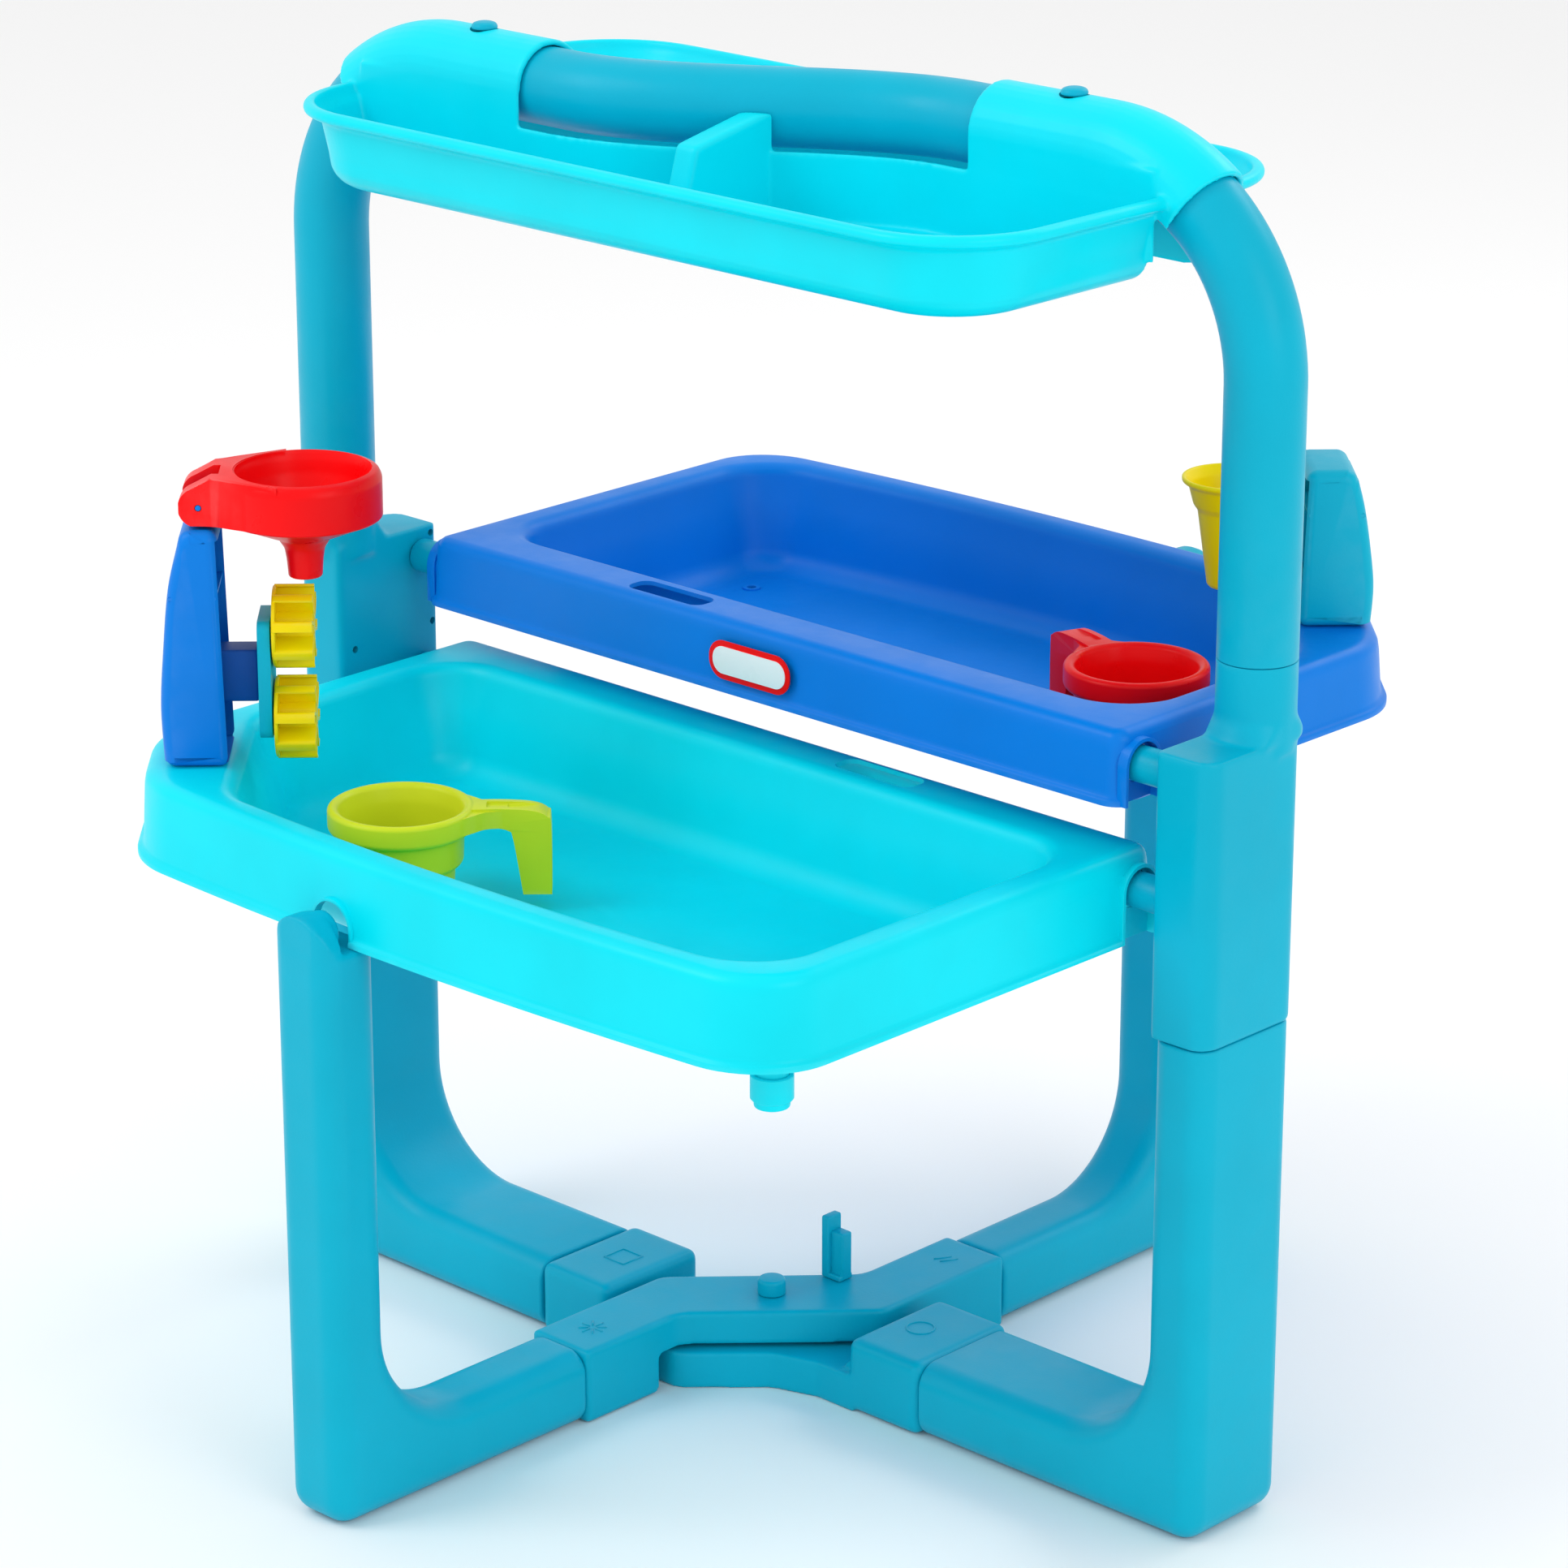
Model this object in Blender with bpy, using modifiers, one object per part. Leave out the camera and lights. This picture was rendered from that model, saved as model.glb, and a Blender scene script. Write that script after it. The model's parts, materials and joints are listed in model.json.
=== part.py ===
"""Folding sand and water table: two hinged trays between two posts, a carry arch with a shelf, crossed legs.

Metres, +Z up. The origin is on the floor under the pivot where the two leg frames cross. X runs along the
tray hinges, from the left post to the right one. The lower tray reaches towards -Y and the upper tray
towards +Y.
"""

from math import cos, pi, radians, sin

import bmesh
import bpy
from mathutils import Matrix, Vector

# Clearances
GAP = 0.0003  # between pieces that touch
RUN = 0.0006  # round a piece that turns in another

# Leg frames
FOOT_H = 0.0538
ARM_SEAM = 0.0300  # height where the upper cross piece lies over the lower one
POST_X = 0.3727  # post axis from the middle, along X
POST_Y = 0.0538  # and off the hinge plane, to opposite sides
WIDE_IN, WIDE_OUT = 0.3505, 0.3965  # wide legs, along X
WIDE_NEAR, WIDE_FAR = -0.0188, 0.0762  # wide legs, along Y, on the right-hand side
WIDE_SEAM = 0.1552  # where a wide leg's foot meets the lower cross piece
NARROW_IN, NARROW_OUT = 0.3380, 0.3860  # narrow legs, along Y
NARROW_NEAR, NARROW_FAR = 0.0225, 0.0775  # narrow legs, along X
NARROW_SEAM = 0.1590
LEG_TOP = 0.3485  # seam between a wide leg and its hinge post
BLOCK_TOP = 0.5430
POST_TOP = 0.5920  # seam between a hinge post and the arch
TOE_R = 0.0130
FOOT_CURVE = 0.0750
CAP_IN = 0.3690  # inner face of a narrow leg's cap, clear of the tray skirt
CAP_R = 0.0262

# Arch: its two ends stand in planes along X, and an S in plan joins them
TUBE_R = 0.0262
BEND_R = 0.1300
ARCH_Z = 0.8980
S_HALF = 0.1300
BEND_X = POST_X - BEND_R

# Trays: half width, reach in front of the hinge axis and behind it, rim height, skirt height
HALF_W = 0.3200
BACK = 0.0180
WALL = 0.0030
BASIN_DEEP = 0.0760
HINGE_Y = 0.0025
LOWER_HINGE_Z, LOWER_RIM_Z, LOWER_REACH, LOWER_SKIRT = 0.4370, 0.4634, 0.3560, 0.0600
UPPER_HINGE_Z, UPPER_RIM_Z, UPPER_REACH, UPPER_SKIRT = 0.5220, 0.5454, 0.3330, 0.0490
PIN_R = 0.0120
NOTCH_R = 0.0180
# The notch over each narrow leg: its place along X, its radius, and its crown above the leg's cap
LEG_NOTCH_X, LEG_NOTCH_R, LEG_NOTCH_RISE = 0.0477, 0.0167, 0.0040
LOWER_CAP_TOP, UPPER_CAP_TOP = 0.4265, 0.5320
# Drains: along X, and back from the tray's front edge. The upper one clears the back leg as that folds
LOWER_DRAIN, UPPER_DRAIN = (0.2520, 0.0910), (0.2400, 0.1060)
NOZZLE_R, NOZZLE_DROP = 0.0108, 0.0350
CAP_WIDE, CAP_TIP = 0.0138, 0.0115
SLOT_X, SLOT_L, SLOT_W = 0.0995, 0.0700, 0.0215

# Towers, on the trays' outer corners. r runs along the corner's diagonal towards +X +Y.
TOWER_XY = 0.2570
LOWER_TOWER_Y = -0.2850
UPPER_TOWER_Y = 0.2760
TOWER_HALF_T = 0.0320

# Shelf
SHELF_RIM_Z, SHELF_FLOOR_Z = 0.8830, 0.8260
SHELF_HALF_X, SHELF_HALF_Y, SHELF_CORNER = 0.3170, 0.1680, 0.0780
SADDLE_FROM = 0.1500
SADDLE_TURN = 37.0  # how far round the arch's bend a saddle reaches, in degrees
SADDLE_R = 0.0310
BUTTON_X = 0.2130

PARTS = "sand_water_table"
CUTTERS = "cutters"

TEAL = (0.000, 0.410, 0.590)
AQUA = (0.000, 0.700, 0.830)
BLUE = (0.000, 0.180, 0.720)
DARK_BLUE = (0.000, 0.090, 0.420)
RED = (0.800, 0.010, 0.015)
YELLOW = (0.850, 0.700, 0.010)
LIME = (0.520, 0.620, 0.030)
STEEL = (0.600, 0.610, 0.620)
WHITE = (0.850, 0.860, 0.870)


# ---------------------------------------------------------------- scene and objects

def clear_scene():
    for obj in list(bpy.data.objects):
        bpy.data.objects.remove(obj, do_unlink=True)


def collection(name):
    found = bpy.data.collections.get(name)
    if found is None:
        found = bpy.data.collections.new(name)
        bpy.context.scene.collection.children.link(found)
    return found


def material(name, colour, roughness=0.35, metallic=0.0):
    mat = bpy.data.materials.new(name)
    mat.use_nodes = True
    shader = mat.node_tree.nodes["Principled BSDF"]
    shader.inputs["Base Color"].default_value = (*colour, 1.0)
    shader.inputs["Roughness"].default_value = roughness
    shader.inputs["Metallic"].default_value = metallic
    mat.diffuse_color = (*colour, 1.0)
    return mat


def put(obj, where):
    for old in list(obj.users_collection):
        old.objects.unlink(obj)
    collection(where).objects.link(obj)
    return obj


def smooth(mesh, angle=35.0):
    mesh.shade_smooth()
    mesh.set_sharp_from_angle(angle=radians(angle))


def from_bmesh(name, bm, where=CUTTERS):
    bmesh.ops.recalc_face_normals(bm, faces=bm.faces)
    mesh = bpy.data.meshes.new(name)
    bm.to_mesh(mesh)
    bm.free()
    return put(bpy.data.objects.new(name, mesh), where) if where == PARTS else helper(name, mesh)


def helper(name, mesh):
    """A solid used only to cut or to join."""
    obj = bpy.data.objects.new(name, mesh)
    collection(CUTTERS).objects.link(obj)
    obj.hide_render = True
    obj.display_type = "WIRE"
    return obj


def baked(obj):
    """The object's evaluated mesh, welded, in world space."""
    bpy.context.view_layer.update()
    graph = bpy.context.evaluated_depsgraph_get()
    mesh = bpy.data.meshes.new_from_object(obj.evaluated_get(graph), depsgraph=graph)
    mesh.transform(obj.matrix_world)
    bm = bmesh.new()
    bm.from_mesh(mesh)
    bmesh.ops.remove_doubles(bm, verts=bm.verts, dist=1e-6)
    bmesh.ops.recalc_face_normals(bm, faces=bm.faces)
    bm.to_mesh(mesh)
    bm.free()
    return mesh


def drop(*objects):
    for obj in objects:
        bpy.data.objects.remove(obj, do_unlink=True)


def finish(name, solid, mat, origin=(0.0, 0.0, 0.0)):
    """Turn a helper solid into a named part with its origin on a joint axis or at a useful point."""
    mesh = baked(solid)
    mesh.transform(Matrix.Translation(-Vector(origin)))
    drop(solid)
    mesh.materials.clear()
    mesh.materials.append(mat)
    smooth(mesh)
    mesh.name = name
    obj = bpy.data.objects.new(name, mesh)
    obj.location = origin
    collection(PARTS).objects.link(obj)
    return obj


def turned_copy(obj, name):
    """The same piece on the other side: half a turn about the table's middle."""
    other = bpy.data.objects.new(name, obj.data)
    other.matrix_world = Matrix.Rotation(pi, 4, "Z") @ obj.matrix_world
    collection(PARTS).objects.link(other)
    return other


# ---------------------------------------------------------------- outlines

def arc(cx, cy, radius, start, end, steps):
    """Points on a circle from one angle to another, in degrees."""
    angles = [radians(start + (end - start) * i / steps) for i in range(steps + 1)]
    return [(cx + radius * cos(a), cy + radius * sin(a)) for a in angles]


def rounded(corners, steps=4):
    """An outline through (x, y, radius) corners, with each corner replaced by an arc."""
    points = []
    count = len(corners)
    for i, (x, y, radius) in enumerate(corners):
        here = Vector((x, y))
        before = (Vector(corners[i - 1][:2]) - here).normalized()
        after = (Vector(corners[(i + 1) % count][:2]) - here).normalized()
        if radius <= 0:
            points.append((x, y))
            continue
        half = before.angle(after) / 2
        centre = here + (before + after).normalized() * radius / sin(half)
        first = here + before * radius / (sin(half) / cos(half)) - centre
        last = here + after * radius / (sin(half) / cos(half)) - centre
        turn = first.angle_signed(last)
        for k in range(steps + 1):
            spoke = first.copy()
            spoke.rotate(Matrix.Rotation(-turn * k / steps, 2))
            points.append(tuple(centre + spoke))
    return points


def box_outline(x0, x1, y0, y1, radius, steps=4):
    corners = [(x0, y0, radius), (x1, y0, radius), (x1, y1, radius), (x0, y1, radius)]
    return rounded(corners, steps)


# ---------------------------------------------------------------- solids

def plate(name, outline, low, high, across="Z"):
    """A flat outline thickened between two coordinates of the axis it lies across.

    The outline is (x, y) across Z, (x, z) across Y and (y, z) across X.
    """
    curve = bpy.data.curves.new(name, "CURVE")
    curve.dimensions = "2D"
    curve.fill_mode = "BOTH"
    curve.extrude = (high - low) / 2
    spline = curve.splines.new("POLY")
    spline.points.add(len(outline) - 1)
    for point, (x, y) in zip(spline.points, outline):
        point.co = (x, y, 0.0, 1.0)
    spline.use_cyclic_u = True
    flat = bpy.data.objects.new(name, curve)
    collection(CUTTERS).objects.link(flat)
    middle = (low + high) / 2
    flat.matrix_world = {
        "Z": Matrix.Translation((0, 0, middle)),
        "Y": Matrix.Translation((0, middle, 0)) @ Matrix.Rotation(pi / 2, 4, "X"),
        "X": Matrix.Translation((middle, 0, 0)) @ Matrix(((0, 0, 1, 0), (1, 0, 0, 0), (0, 1, 0, 0), (0, 0, 0, 1))),
    }[across]
    mesh = baked(flat)
    drop(flat)
    return helper(name, mesh)


def block(name, x0, x1, y0, y1, z0, z1, radius=0.0, steps=2):
    bm = bmesh.new()
    bmesh.ops.create_cube(bm, size=1.0)
    size = Vector((x1 - x0, y1 - y0, z1 - z0))
    centre = Vector((x0 + x1, y0 + y1, z0 + z1)) / 2
    bmesh.ops.transform(bm, matrix=Matrix.LocRotScale(centre, None, size), verts=bm.verts)
    solid = from_bmesh(name, bm)
    return bevelled(solid, radius, steps) if radius else solid


def rod(name, radius, start, end, sides=24, radius_end=None):
    """A cylinder or a cone between two points."""
    start, end = Vector(start), Vector(end)
    bm = bmesh.new()
    bmesh.ops.create_cone(
        bm,
        cap_ends=True,
        segments=sides,
        radius1=radius,
        radius2=radius if radius_end is None else radius_end,
        depth=(end - start).length,
    )
    turn = (end - start).to_track_quat("Z", "Y")
    place = Matrix.LocRotScale((start + end) / 2, turn, None)
    bmesh.ops.transform(bm, matrix=place, verts=bm.verts)
    return from_bmesh(name, bm)


def bevelled(solid, width, steps=2, angle=40.0):
    """Round the sharp edges and bake the result."""
    bevel = solid.modifiers.new("edges", "BEVEL")
    bevel.width = width
    bevel.segments = steps
    bevel.limit_method = "ANGLE"
    bevel.angle_limit = radians(angle)
    bevel.use_clamp_overlap = True
    mesh = baked(solid)
    name = solid.name
    drop(solid)
    return helper(name, mesh)


def boolean(solid, other, operation, solver="EXACT"):
    modifier = solid.modifiers.new("join", "BOOLEAN")
    modifier.operation = operation
    modifier.solver = solver
    modifier.object = other
    mesh = baked(solid)
    name = solid.name
    drop(solid, other)
    return helper(name, mesh)


def joined(solid, *others, solver="EXACT"):
    for other in others:
        solid = boolean(solid, other, "UNION", solver)
    return solid


def cut(solid, *others, solver="EXACT"):
    for other in others:
        solid = boolean(solid, other, "DIFFERENCE", solver)
    return solid


def turned(name, profile, sides=28):
    """A profile of (radius, height) points, listed down the outside and up the inside, turned about Z."""
    mesh = bpy.data.meshes.new(name)
    points = [(radius, 0.0, height) for radius, height in profile]
    closed = profile[0][0] > 0 and profile[-1][0] > 0
    edges = [(i, i + 1) for i in range(len(points) - 1)]
    if closed:
        edges.append((len(points) - 1, 0))
    mesh.from_pydata(points, edges, [])
    solid = helper(name, mesh)
    screw = solid.modifiers.new("turn", "SCREW")
    screw.steps = screw.render_steps = sides
    screw.use_merge_vertices = True
    screw.merge_threshold = 0.00001
    baked_mesh = baked(solid)
    drop(solid)
    return helper(name, baked_mesh)


def loft(name, rings, cap_first=False, cap_last=True):
    """A skin through rings of equally many points."""
    bm = bmesh.new()
    rows = [[bm.verts.new(point) for point in ring] for ring in rings]
    count = len(rings[0])
    for low, high in zip(rows, rows[1:]):
        for i in range(count):
            k = (i + 1) % count
            bm.faces.new((low[i], low[k], high[k], high[i]))
    if cap_first:
        bm.faces.new(rows[0][::-1])
    if cap_last:
        bm.faces.new(rows[-1])
    return from_bmesh(name, bm)


def moved(solid, matrix):
    solid.data.transform(matrix)
    return solid


# ---------------------------------------------------------------- leg frames

def leg_outline(seam, inner, outer, top):
    """Foot and upright in one L, with the curve between them."""
    bend = arc(inner - FOOT_CURVE, FOOT_H + FOOT_CURVE, FOOT_CURVE, -90, 0, 7)
    toe = arc(outer - TOE_R, TOE_R, TOE_R, -90, 0, 3)
    return [(seam, 0.0), *toe, (outer, top), (inner, top), *reversed(bend), (seam, FOOT_H)]


def trimmed(solid, keep):
    """Cut the solid square with a box and take the sharpness off the new edges."""
    return bevelled(boolean(solid, keep, "INTERSECT"), 0.0020, 1, 60.0)


def wide_leg(mat):
    outline = leg_outline(WIDE_SEAM - 0.03, WIDE_IN, WIDE_OUT, LEG_TOP + 0.03)
    solid = bevelled(plate("leg", outline, WIDE_NEAR, WIDE_FAR, "Y"), 0.012, 3)
    solid = trimmed(solid, block("keep", WIDE_SEAM + GAP, 0.5, -0.1, 0.1, -0.1, LEG_TOP - GAP))
    right = finish("right_leg", solid, mat)
    turned_copy(right, "left_leg")


def narrow_leg(name, side, cap_top, skirt_low, mat):
    """side is -1 for the front leg and 1 for the back one. The cap stands in front of the tray's skirt."""
    outline = leg_outline(NARROW_SEAM - 0.03, NARROW_IN, NARROW_OUT, skirt_low + 0.03)
    leg = bevelled(plate("leg", outline, NARROW_NEAR, NARROW_FAR, "X"), 0.012, 3)
    leg = trimmed(leg, block("keep", 0.0, 0.1, NARROW_SEAM + GAP, 0.5, -0.1, skirt_low - 2 * GAP))
    middle = (NARROW_NEAR + NARROW_FAR) / 2
    crown = arc(middle, cap_top - CAP_R, CAP_R, 0, 180, 10)
    low = skirt_low - 0.030
    cap = plate("cap", [(middle + CAP_R, low), *crown, (middle - CAP_R, low)], CAP_IN, NARROW_OUT - 0.001, "Y")
    cap = bevelled(cap, 0.005, 2)
    boss = rod("boss", 0.0110, (middle - 0.004, CAP_IN - 0.0035, cap_top - 0.015), (middle - 0.004, CAP_IN + 0.004, cap_top - 0.015), 20)
    solid = joined(leg, cap, boss)
    if side < 0:
        solid = moved(solid, Matrix.Rotation(pi, 4, "Z"))
    return finish(name, solid, mat)


def lower_cross(mat):
    """Arms along X, joined by a low slanting middle under the upper cross piece."""
    right = block("arm", 0.0894, WIDE_SEAM, WIDE_NEAR, WIDE_FAR, 0.0, FOOT_H, 0.006)
    left = block("arm", -WIDE_SEAM, -0.0894, -WIDE_FAR, -WIDE_NEAR, 0.0, FOOT_H, 0.006)
    half = [(0.0940, WIDE_NEAR, 0), (0.0940, WIDE_FAR, 0), (0.0200, WIDE_FAR, 0.020), (-0.0280, 0.0300, 0.020)]
    half.append((-0.0620, -WIDE_NEAR, 0.020))
    outline = rounded(half + [(-x, -y, r) for x, y, r in half], 3)
    middle = bevelled(plate("middle", outline, 0.0, ARM_SEAM - 0.0035, "Z"), 0.003, 1)
    solid = joined(middle, right, left)
    bore = rod("bore", 0.0062, (0, 0, -0.01), (0, 0, 0.1))
    recess = rod("recess", 0.0125, (0, 0, -0.01), (0, 0, 0.004))
    return finish("lower_cross_piece", cut(solid, bore, recess), mat)


def upper_cross(mat):
    """Arms along Y, joined by a slanting bridge that passes over the lower cross piece."""
    reach = 0.0450
    half = [(NARROW_FAR, reach - 0.0120, 0.010), (NARROW_FAR, NARROW_SEAM, 0), (NARROW_NEAR, NARROW_SEAM, 0)]
    half.append((NARROW_NEAR, 0.0690, 0.015))
    outline = rounded(half + [(-x, -y, r) for x, y, r in half], 3)
    solid = bevelled(plate("bridge", outline, 0.0, FOOT_H, "Z"), 0.005, 2)
    under = block("under", -0.12, 0.12, -0.0900, 0.0900, -0.01, ARM_SEAM)
    bore = rod("bore", 0.0062, (0, 0, -0.01), (0, 0, 0.1))
    return finish("upper_cross_piece", cut(solid, under, bore), mat)


def pivot_pin(mat):
    """The headed pin that the upper leg frame turns on."""
    profile = [(0.0, 0.0660), (0.0085, 0.0660), (0.0100, 0.0645), (0.0100, FOOT_H + GAP), (0.0055, FOOT_H + GAP)]
    profile += [(0.0055, 0.0037), (0.0115, 0.0037), (0.0115, 0.0008), (0.0, 0.0008)]
    return finish("pivot_pin", turned("pin", profile, 24), mat)


def latch_peg(mat):
    """A stepped peg on the bridge that keeps the folded frame closed."""
    tall = block("tall", 0.0060, 0.0130, 0.0440, 0.0580, FOOT_H + GAP, 0.1010, 0.0012, 1)
    short = block("short", 0.0120, 0.0240, 0.0470, 0.0570, FOOT_H + GAP, 0.0900, 0.0012, 1)
    return finish("latch_peg", joined(tall, short), mat)


# ---------------------------------------------------------------- posts and arch

def hinge_post(mat):
    outline = box_outline(WIDE_IN, WIDE_OUT, WIDE_NEAR, WIDE_FAR, 0.009, 3)
    body = bevelled(plate("block", outline, LEG_TOP, BLOCK_TOP, "Z"), 0.004, 2, 60.0)
    neck = rod("neck", TUBE_R, (POST_X, POST_Y, BLOCK_TOP - 0.005), (POST_X, POST_Y, POST_TOP - GAP), 28)
    right = joined(body, neck)
    holes = [
        rod("screw_hole", 0.0024, (WIDE_IN - 0.01, y, z), (WIDE_IN + 0.012, y, z), 12)
        for y, z in screw_places()
    ]
    obj = finish("right_hinge_post", cut(right, *holes), mat)
    turned_copy(obj, "left_hinge_post")


def screw_places():
    """(y, z) of a right-hand post's screws: two hold the tray pins and one the leg."""
    return [(WIDE_NEAR + 0.006, 0.5360), (WIDE_NEAR + 0.006, 0.4700), (WIDE_FAR - 0.014, 0.4650)]


def post_screws(mat):
    for i, (y, z) in enumerate(screw_places(), 1):
        head = rod("head", 0.0020, (WIDE_IN + 0.0040, y, z), (WIDE_IN + 0.0110, y, z), 12)
        slot = block("slot", WIDE_IN, WIDE_IN + 0.0048, y - 0.0004, y + 0.0004, z - 0.003, z + 0.003)
        screw = finish(f"right_post_screw_{i}", cut(head, slot), mat)
        turned_copy(screw, f"left_post_screw_{i}")


def tray_pins(mat):
    for level, height in (("lower", LOWER_HINGE_Z), ("upper", UPPER_HINGE_Z)):
        start, end = (WIDE_IN - GAP, HINGE_Y, height), (0.3060, HINGE_Y, height)
        pin = bevelled(rod("pin", PIN_R, start, end, 20), 0.002, 1, 60.0)
        finish(f"{level}_pin_right", pin, mat, end)
        start, end = (-WIDE_IN + GAP, HINGE_Y, height), (-0.3060, HINGE_Y, height)
        pin = bevelled(rod("pin", PIN_R, start, end, 20), 0.002, 1, 60.0)
        finish(f"{level}_pin_left", pin, mat, end)


def s_curve(x):
    """The arch's place along Y where it is x from the middle."""
    return POST_Y * sin(pi / 2 * max(-1.0, min(1.0, x / S_HALF)))


def arch_half(turn=90.0):
    """Points of the arch's right half, from the S outwards and round the bend."""
    flat = [(x, POST_Y, ARCH_Z) for x in (S_HALF, (S_HALF + BEND_X) / 2)]
    bend = arc(BEND_X, ARCH_Z - BEND_R, BEND_R, 90, 90 - turn, max(3, round(turn / 11)))
    return flat + [(x, POST_Y, z) for x, z in bend]


def arch_points():
    """The arch's centre line, from the left post over to the right one."""
    right = [*arch_half(), (POST_X, POST_Y, POST_TOP)]
    left = [(-x, -y, z) for x, y, z in reversed(right)]
    middle = [(S_HALF * k / 5, s_curve(S_HALF * k / 5), ARCH_Z) for k in range(-4, 5)]
    return left + middle + right


def tube(name, points, radius, resolution=5):
    """A round bar along points."""
    curve = bpy.data.curves.new(name, "CURVE")
    curve.dimensions = "3D"
    curve.bevel_depth = radius
    curve.bevel_resolution = resolution
    curve.use_fill_caps = True
    spline = curve.splines.new("POLY")
    spline.points.add(len(points) - 1)
    for point, co in zip(spline.points, points):
        point.co = (*co, 1.0)
    obj = bpy.data.objects.new(name, curve)
    collection(CUTTERS).objects.link(obj)
    mesh = baked(obj)
    drop(obj)
    return helper(name, mesh)


def arch_tube(mat):
    """The bent tube from post to post."""
    return finish("arch_tube", tube("arch", arch_points(), TUBE_R), mat)


# ---------------------------------------------------------------- trays

def tray_rings(reach, skirt):
    """Rings of the tray's outer skin, hinge side at y = 0 and rim at z = 0, reaching towards +Y.

    Each ring is the rim outline or the basin outline, let out or taken in, at a height.
    """
    bow = 0.016

    def outline(half, near, far, radii, chamfer, grow):
        half, near, far = half + grow, near - grow, far + grow
        cut_x, cut_y = chamfer
        corners = [
            (-half, near, max(radii[0] + grow, 0.004)),
            (half, near, max(radii[0] + grow, 0.004)),
            (half, far - cut_y, radii[2]),
            (half - cut_x, far, radii[2]),
            (-half, far, max(radii[1] + grow, 0.006)),
        ]
        points = rounded(corners, 4)
        lines = []
        for i, (x, y) in enumerate(points):
            lines.append((x, y))
            ahead = points[(i + 1) % len(points)]
            if i == 19:
                lines += [(x + (ahead[0] - x) * k / 5, y + (ahead[1] - y) * k / 5) for k in range(1, 5)]
        return [(x, y - bow * (x / half) ** 2 * max(0.0, y / far) ** 2) for x, y in lines]

    def rim(grow, height):
        return [(x, y, height) for x, y in outline(HALF_W, -BACK, reach, (0.010, 0.050, 0.075), (0.070, 0.070), grow)]

    def basin(grow, height):
        shape = outline(0.2900, 0.0280, reach - 0.0260, (0.040, 0.045, 0.050), (0.110, 0.115), grow)
        return [(x, y, height) for x, y in shape]

    return [
        rim(0.0050, -skirt),
        rim(0.0050, -skirt + 0.0040),
        rim(0.0025, -skirt + 0.0070),
        rim(0.0, -0.0070),
        rim(-0.0020, -0.0020),
        rim(-0.0070, 0.0),
        basin(0.0050, 0.0),
        basin(0.0, -0.0040),
        basin(-0.0140, -BASIN_DEEP + 0.022),
        basin(-0.0200, -BASIN_DEEP + 0.008),
        basin(-0.0320, -BASIN_DEEP),
    ]


def notch(name, x, y, z, radius, through):
    """An arch open at the bottom, for a pin along X or along Y."""
    crown = arc(0.0, 0.0, radius, 0, 180, 10)
    outline = [(radius, -0.09), *crown, (-radius, -0.09)]
    if through == "X":
        return moved(plate(name, outline, -0.016, 0.016, "X"), Matrix.Translation((x, y, z)))
    return moved(plate(name, outline, -0.016, 0.016, "Y"), Matrix.Translation((x, y, z)))


def tray(name, reach, rim_z, hinge_z, skirt, drain_at, cap_top, mat):
    """A tray reaching towards +Y from the hinge axis, with its rim at height 0."""
    skin = loft("skin", tray_rings(reach, skirt))
    solidify = skin.modifiers.new("wall", "SOLIDIFY")
    solidify.thickness = WALL
    solidify.offset = -1.0
    solidify.use_even_offset = True
    solidify.thickness_clamp = 0.0
    shell = helper("shell", baked(skin))
    drop(skin)
    pin_z = hinge_z - rim_z
    drain = (-drain_at[0], reach - drain_at[1])
    floor_z = -BASIN_DEEP
    nozzle = rod("nozzle", NOZZLE_R, (*drain, floor_z - NOZZLE_DROP), (*drain, floor_z - 0.001))
    shell = joined(shell, nozzle)
    bore = rod("bore", NOZZLE_R - 0.0030, (*drain, floor_z - NOZZLE_DROP - 0.01), (*drain, floor_z + 0.01))
    slot = plate("slot", slot_outline(), -0.02, 0.02, "Z")
    sides = [notch("notch", x, 0.0, pin_z, NOTCH_R, "X") for x in (-HALF_W - 0.004, HALF_W + 0.004)]
    front_z = cap_top + LEG_NOTCH_RISE - LEG_NOTCH_R - rim_z
    front = notch("notch", LEG_NOTCH_X, reach, front_z, LEG_NOTCH_R, "Y")
    return finish(name, cut(shell, bore, slot, *sides, front), mat)


def slot_outline():
    """The hand slot in the deck on the hinge side."""
    return box_outline(
        -SLOT_X - SLOT_L / 2, -SLOT_X + SLOT_L / 2, 0.0025 - SLOT_W / 2, 0.0025 + SLOT_W / 2, 0.008, 3
    )


def place_tray(obj, level):
    """Turn and lift a tray to its hinge: the lower one reaches the other way."""
    if level == "lower":
        turn, height = Matrix.Rotation(pi, 4, "Z"), LOWER_RIM_Z
    else:
        turn, height = Matrix.Identity(4), UPPER_RIM_Z
    obj.matrix_world = Matrix.Translation((0, HINGE_Y, height)) @ turn
    return obj


def drain_cap(name, level, mat):
    """A push-on cap over the tray's nozzle."""
    if level == "lower":
        x, y, rim = LOWER_DRAIN[0], HINGE_Y - LOWER_REACH + LOWER_DRAIN[1], LOWER_RIM_Z
    else:
        x, y, rim = -UPPER_DRAIN[0], HINGE_Y + UPPER_REACH - UPPER_DRAIN[1], UPPER_RIM_Z
    end = rim - BASIN_DEEP - NOZZLE_DROP
    inner, bottom, top = NOZZLE_R + GAP, end - 0.0055, end + 0.0165
    profile = [(CAP_WIDE, top), (CAP_WIDE, end - 0.0003), (CAP_TIP, end - 0.0018), (CAP_TIP, bottom + 0.0012), (CAP_TIP - 0.0012, bottom)]
    profile += [(0.0, bottom), (0.0, end - GAP), (inner, end - GAP), (inner, top)]
    cap = turned("cap", profile, 28)
    return finish(name, moved(cap, Matrix.Translation((x, y, 0))), mat)


# ---------------------------------------------------------------- towers

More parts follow.
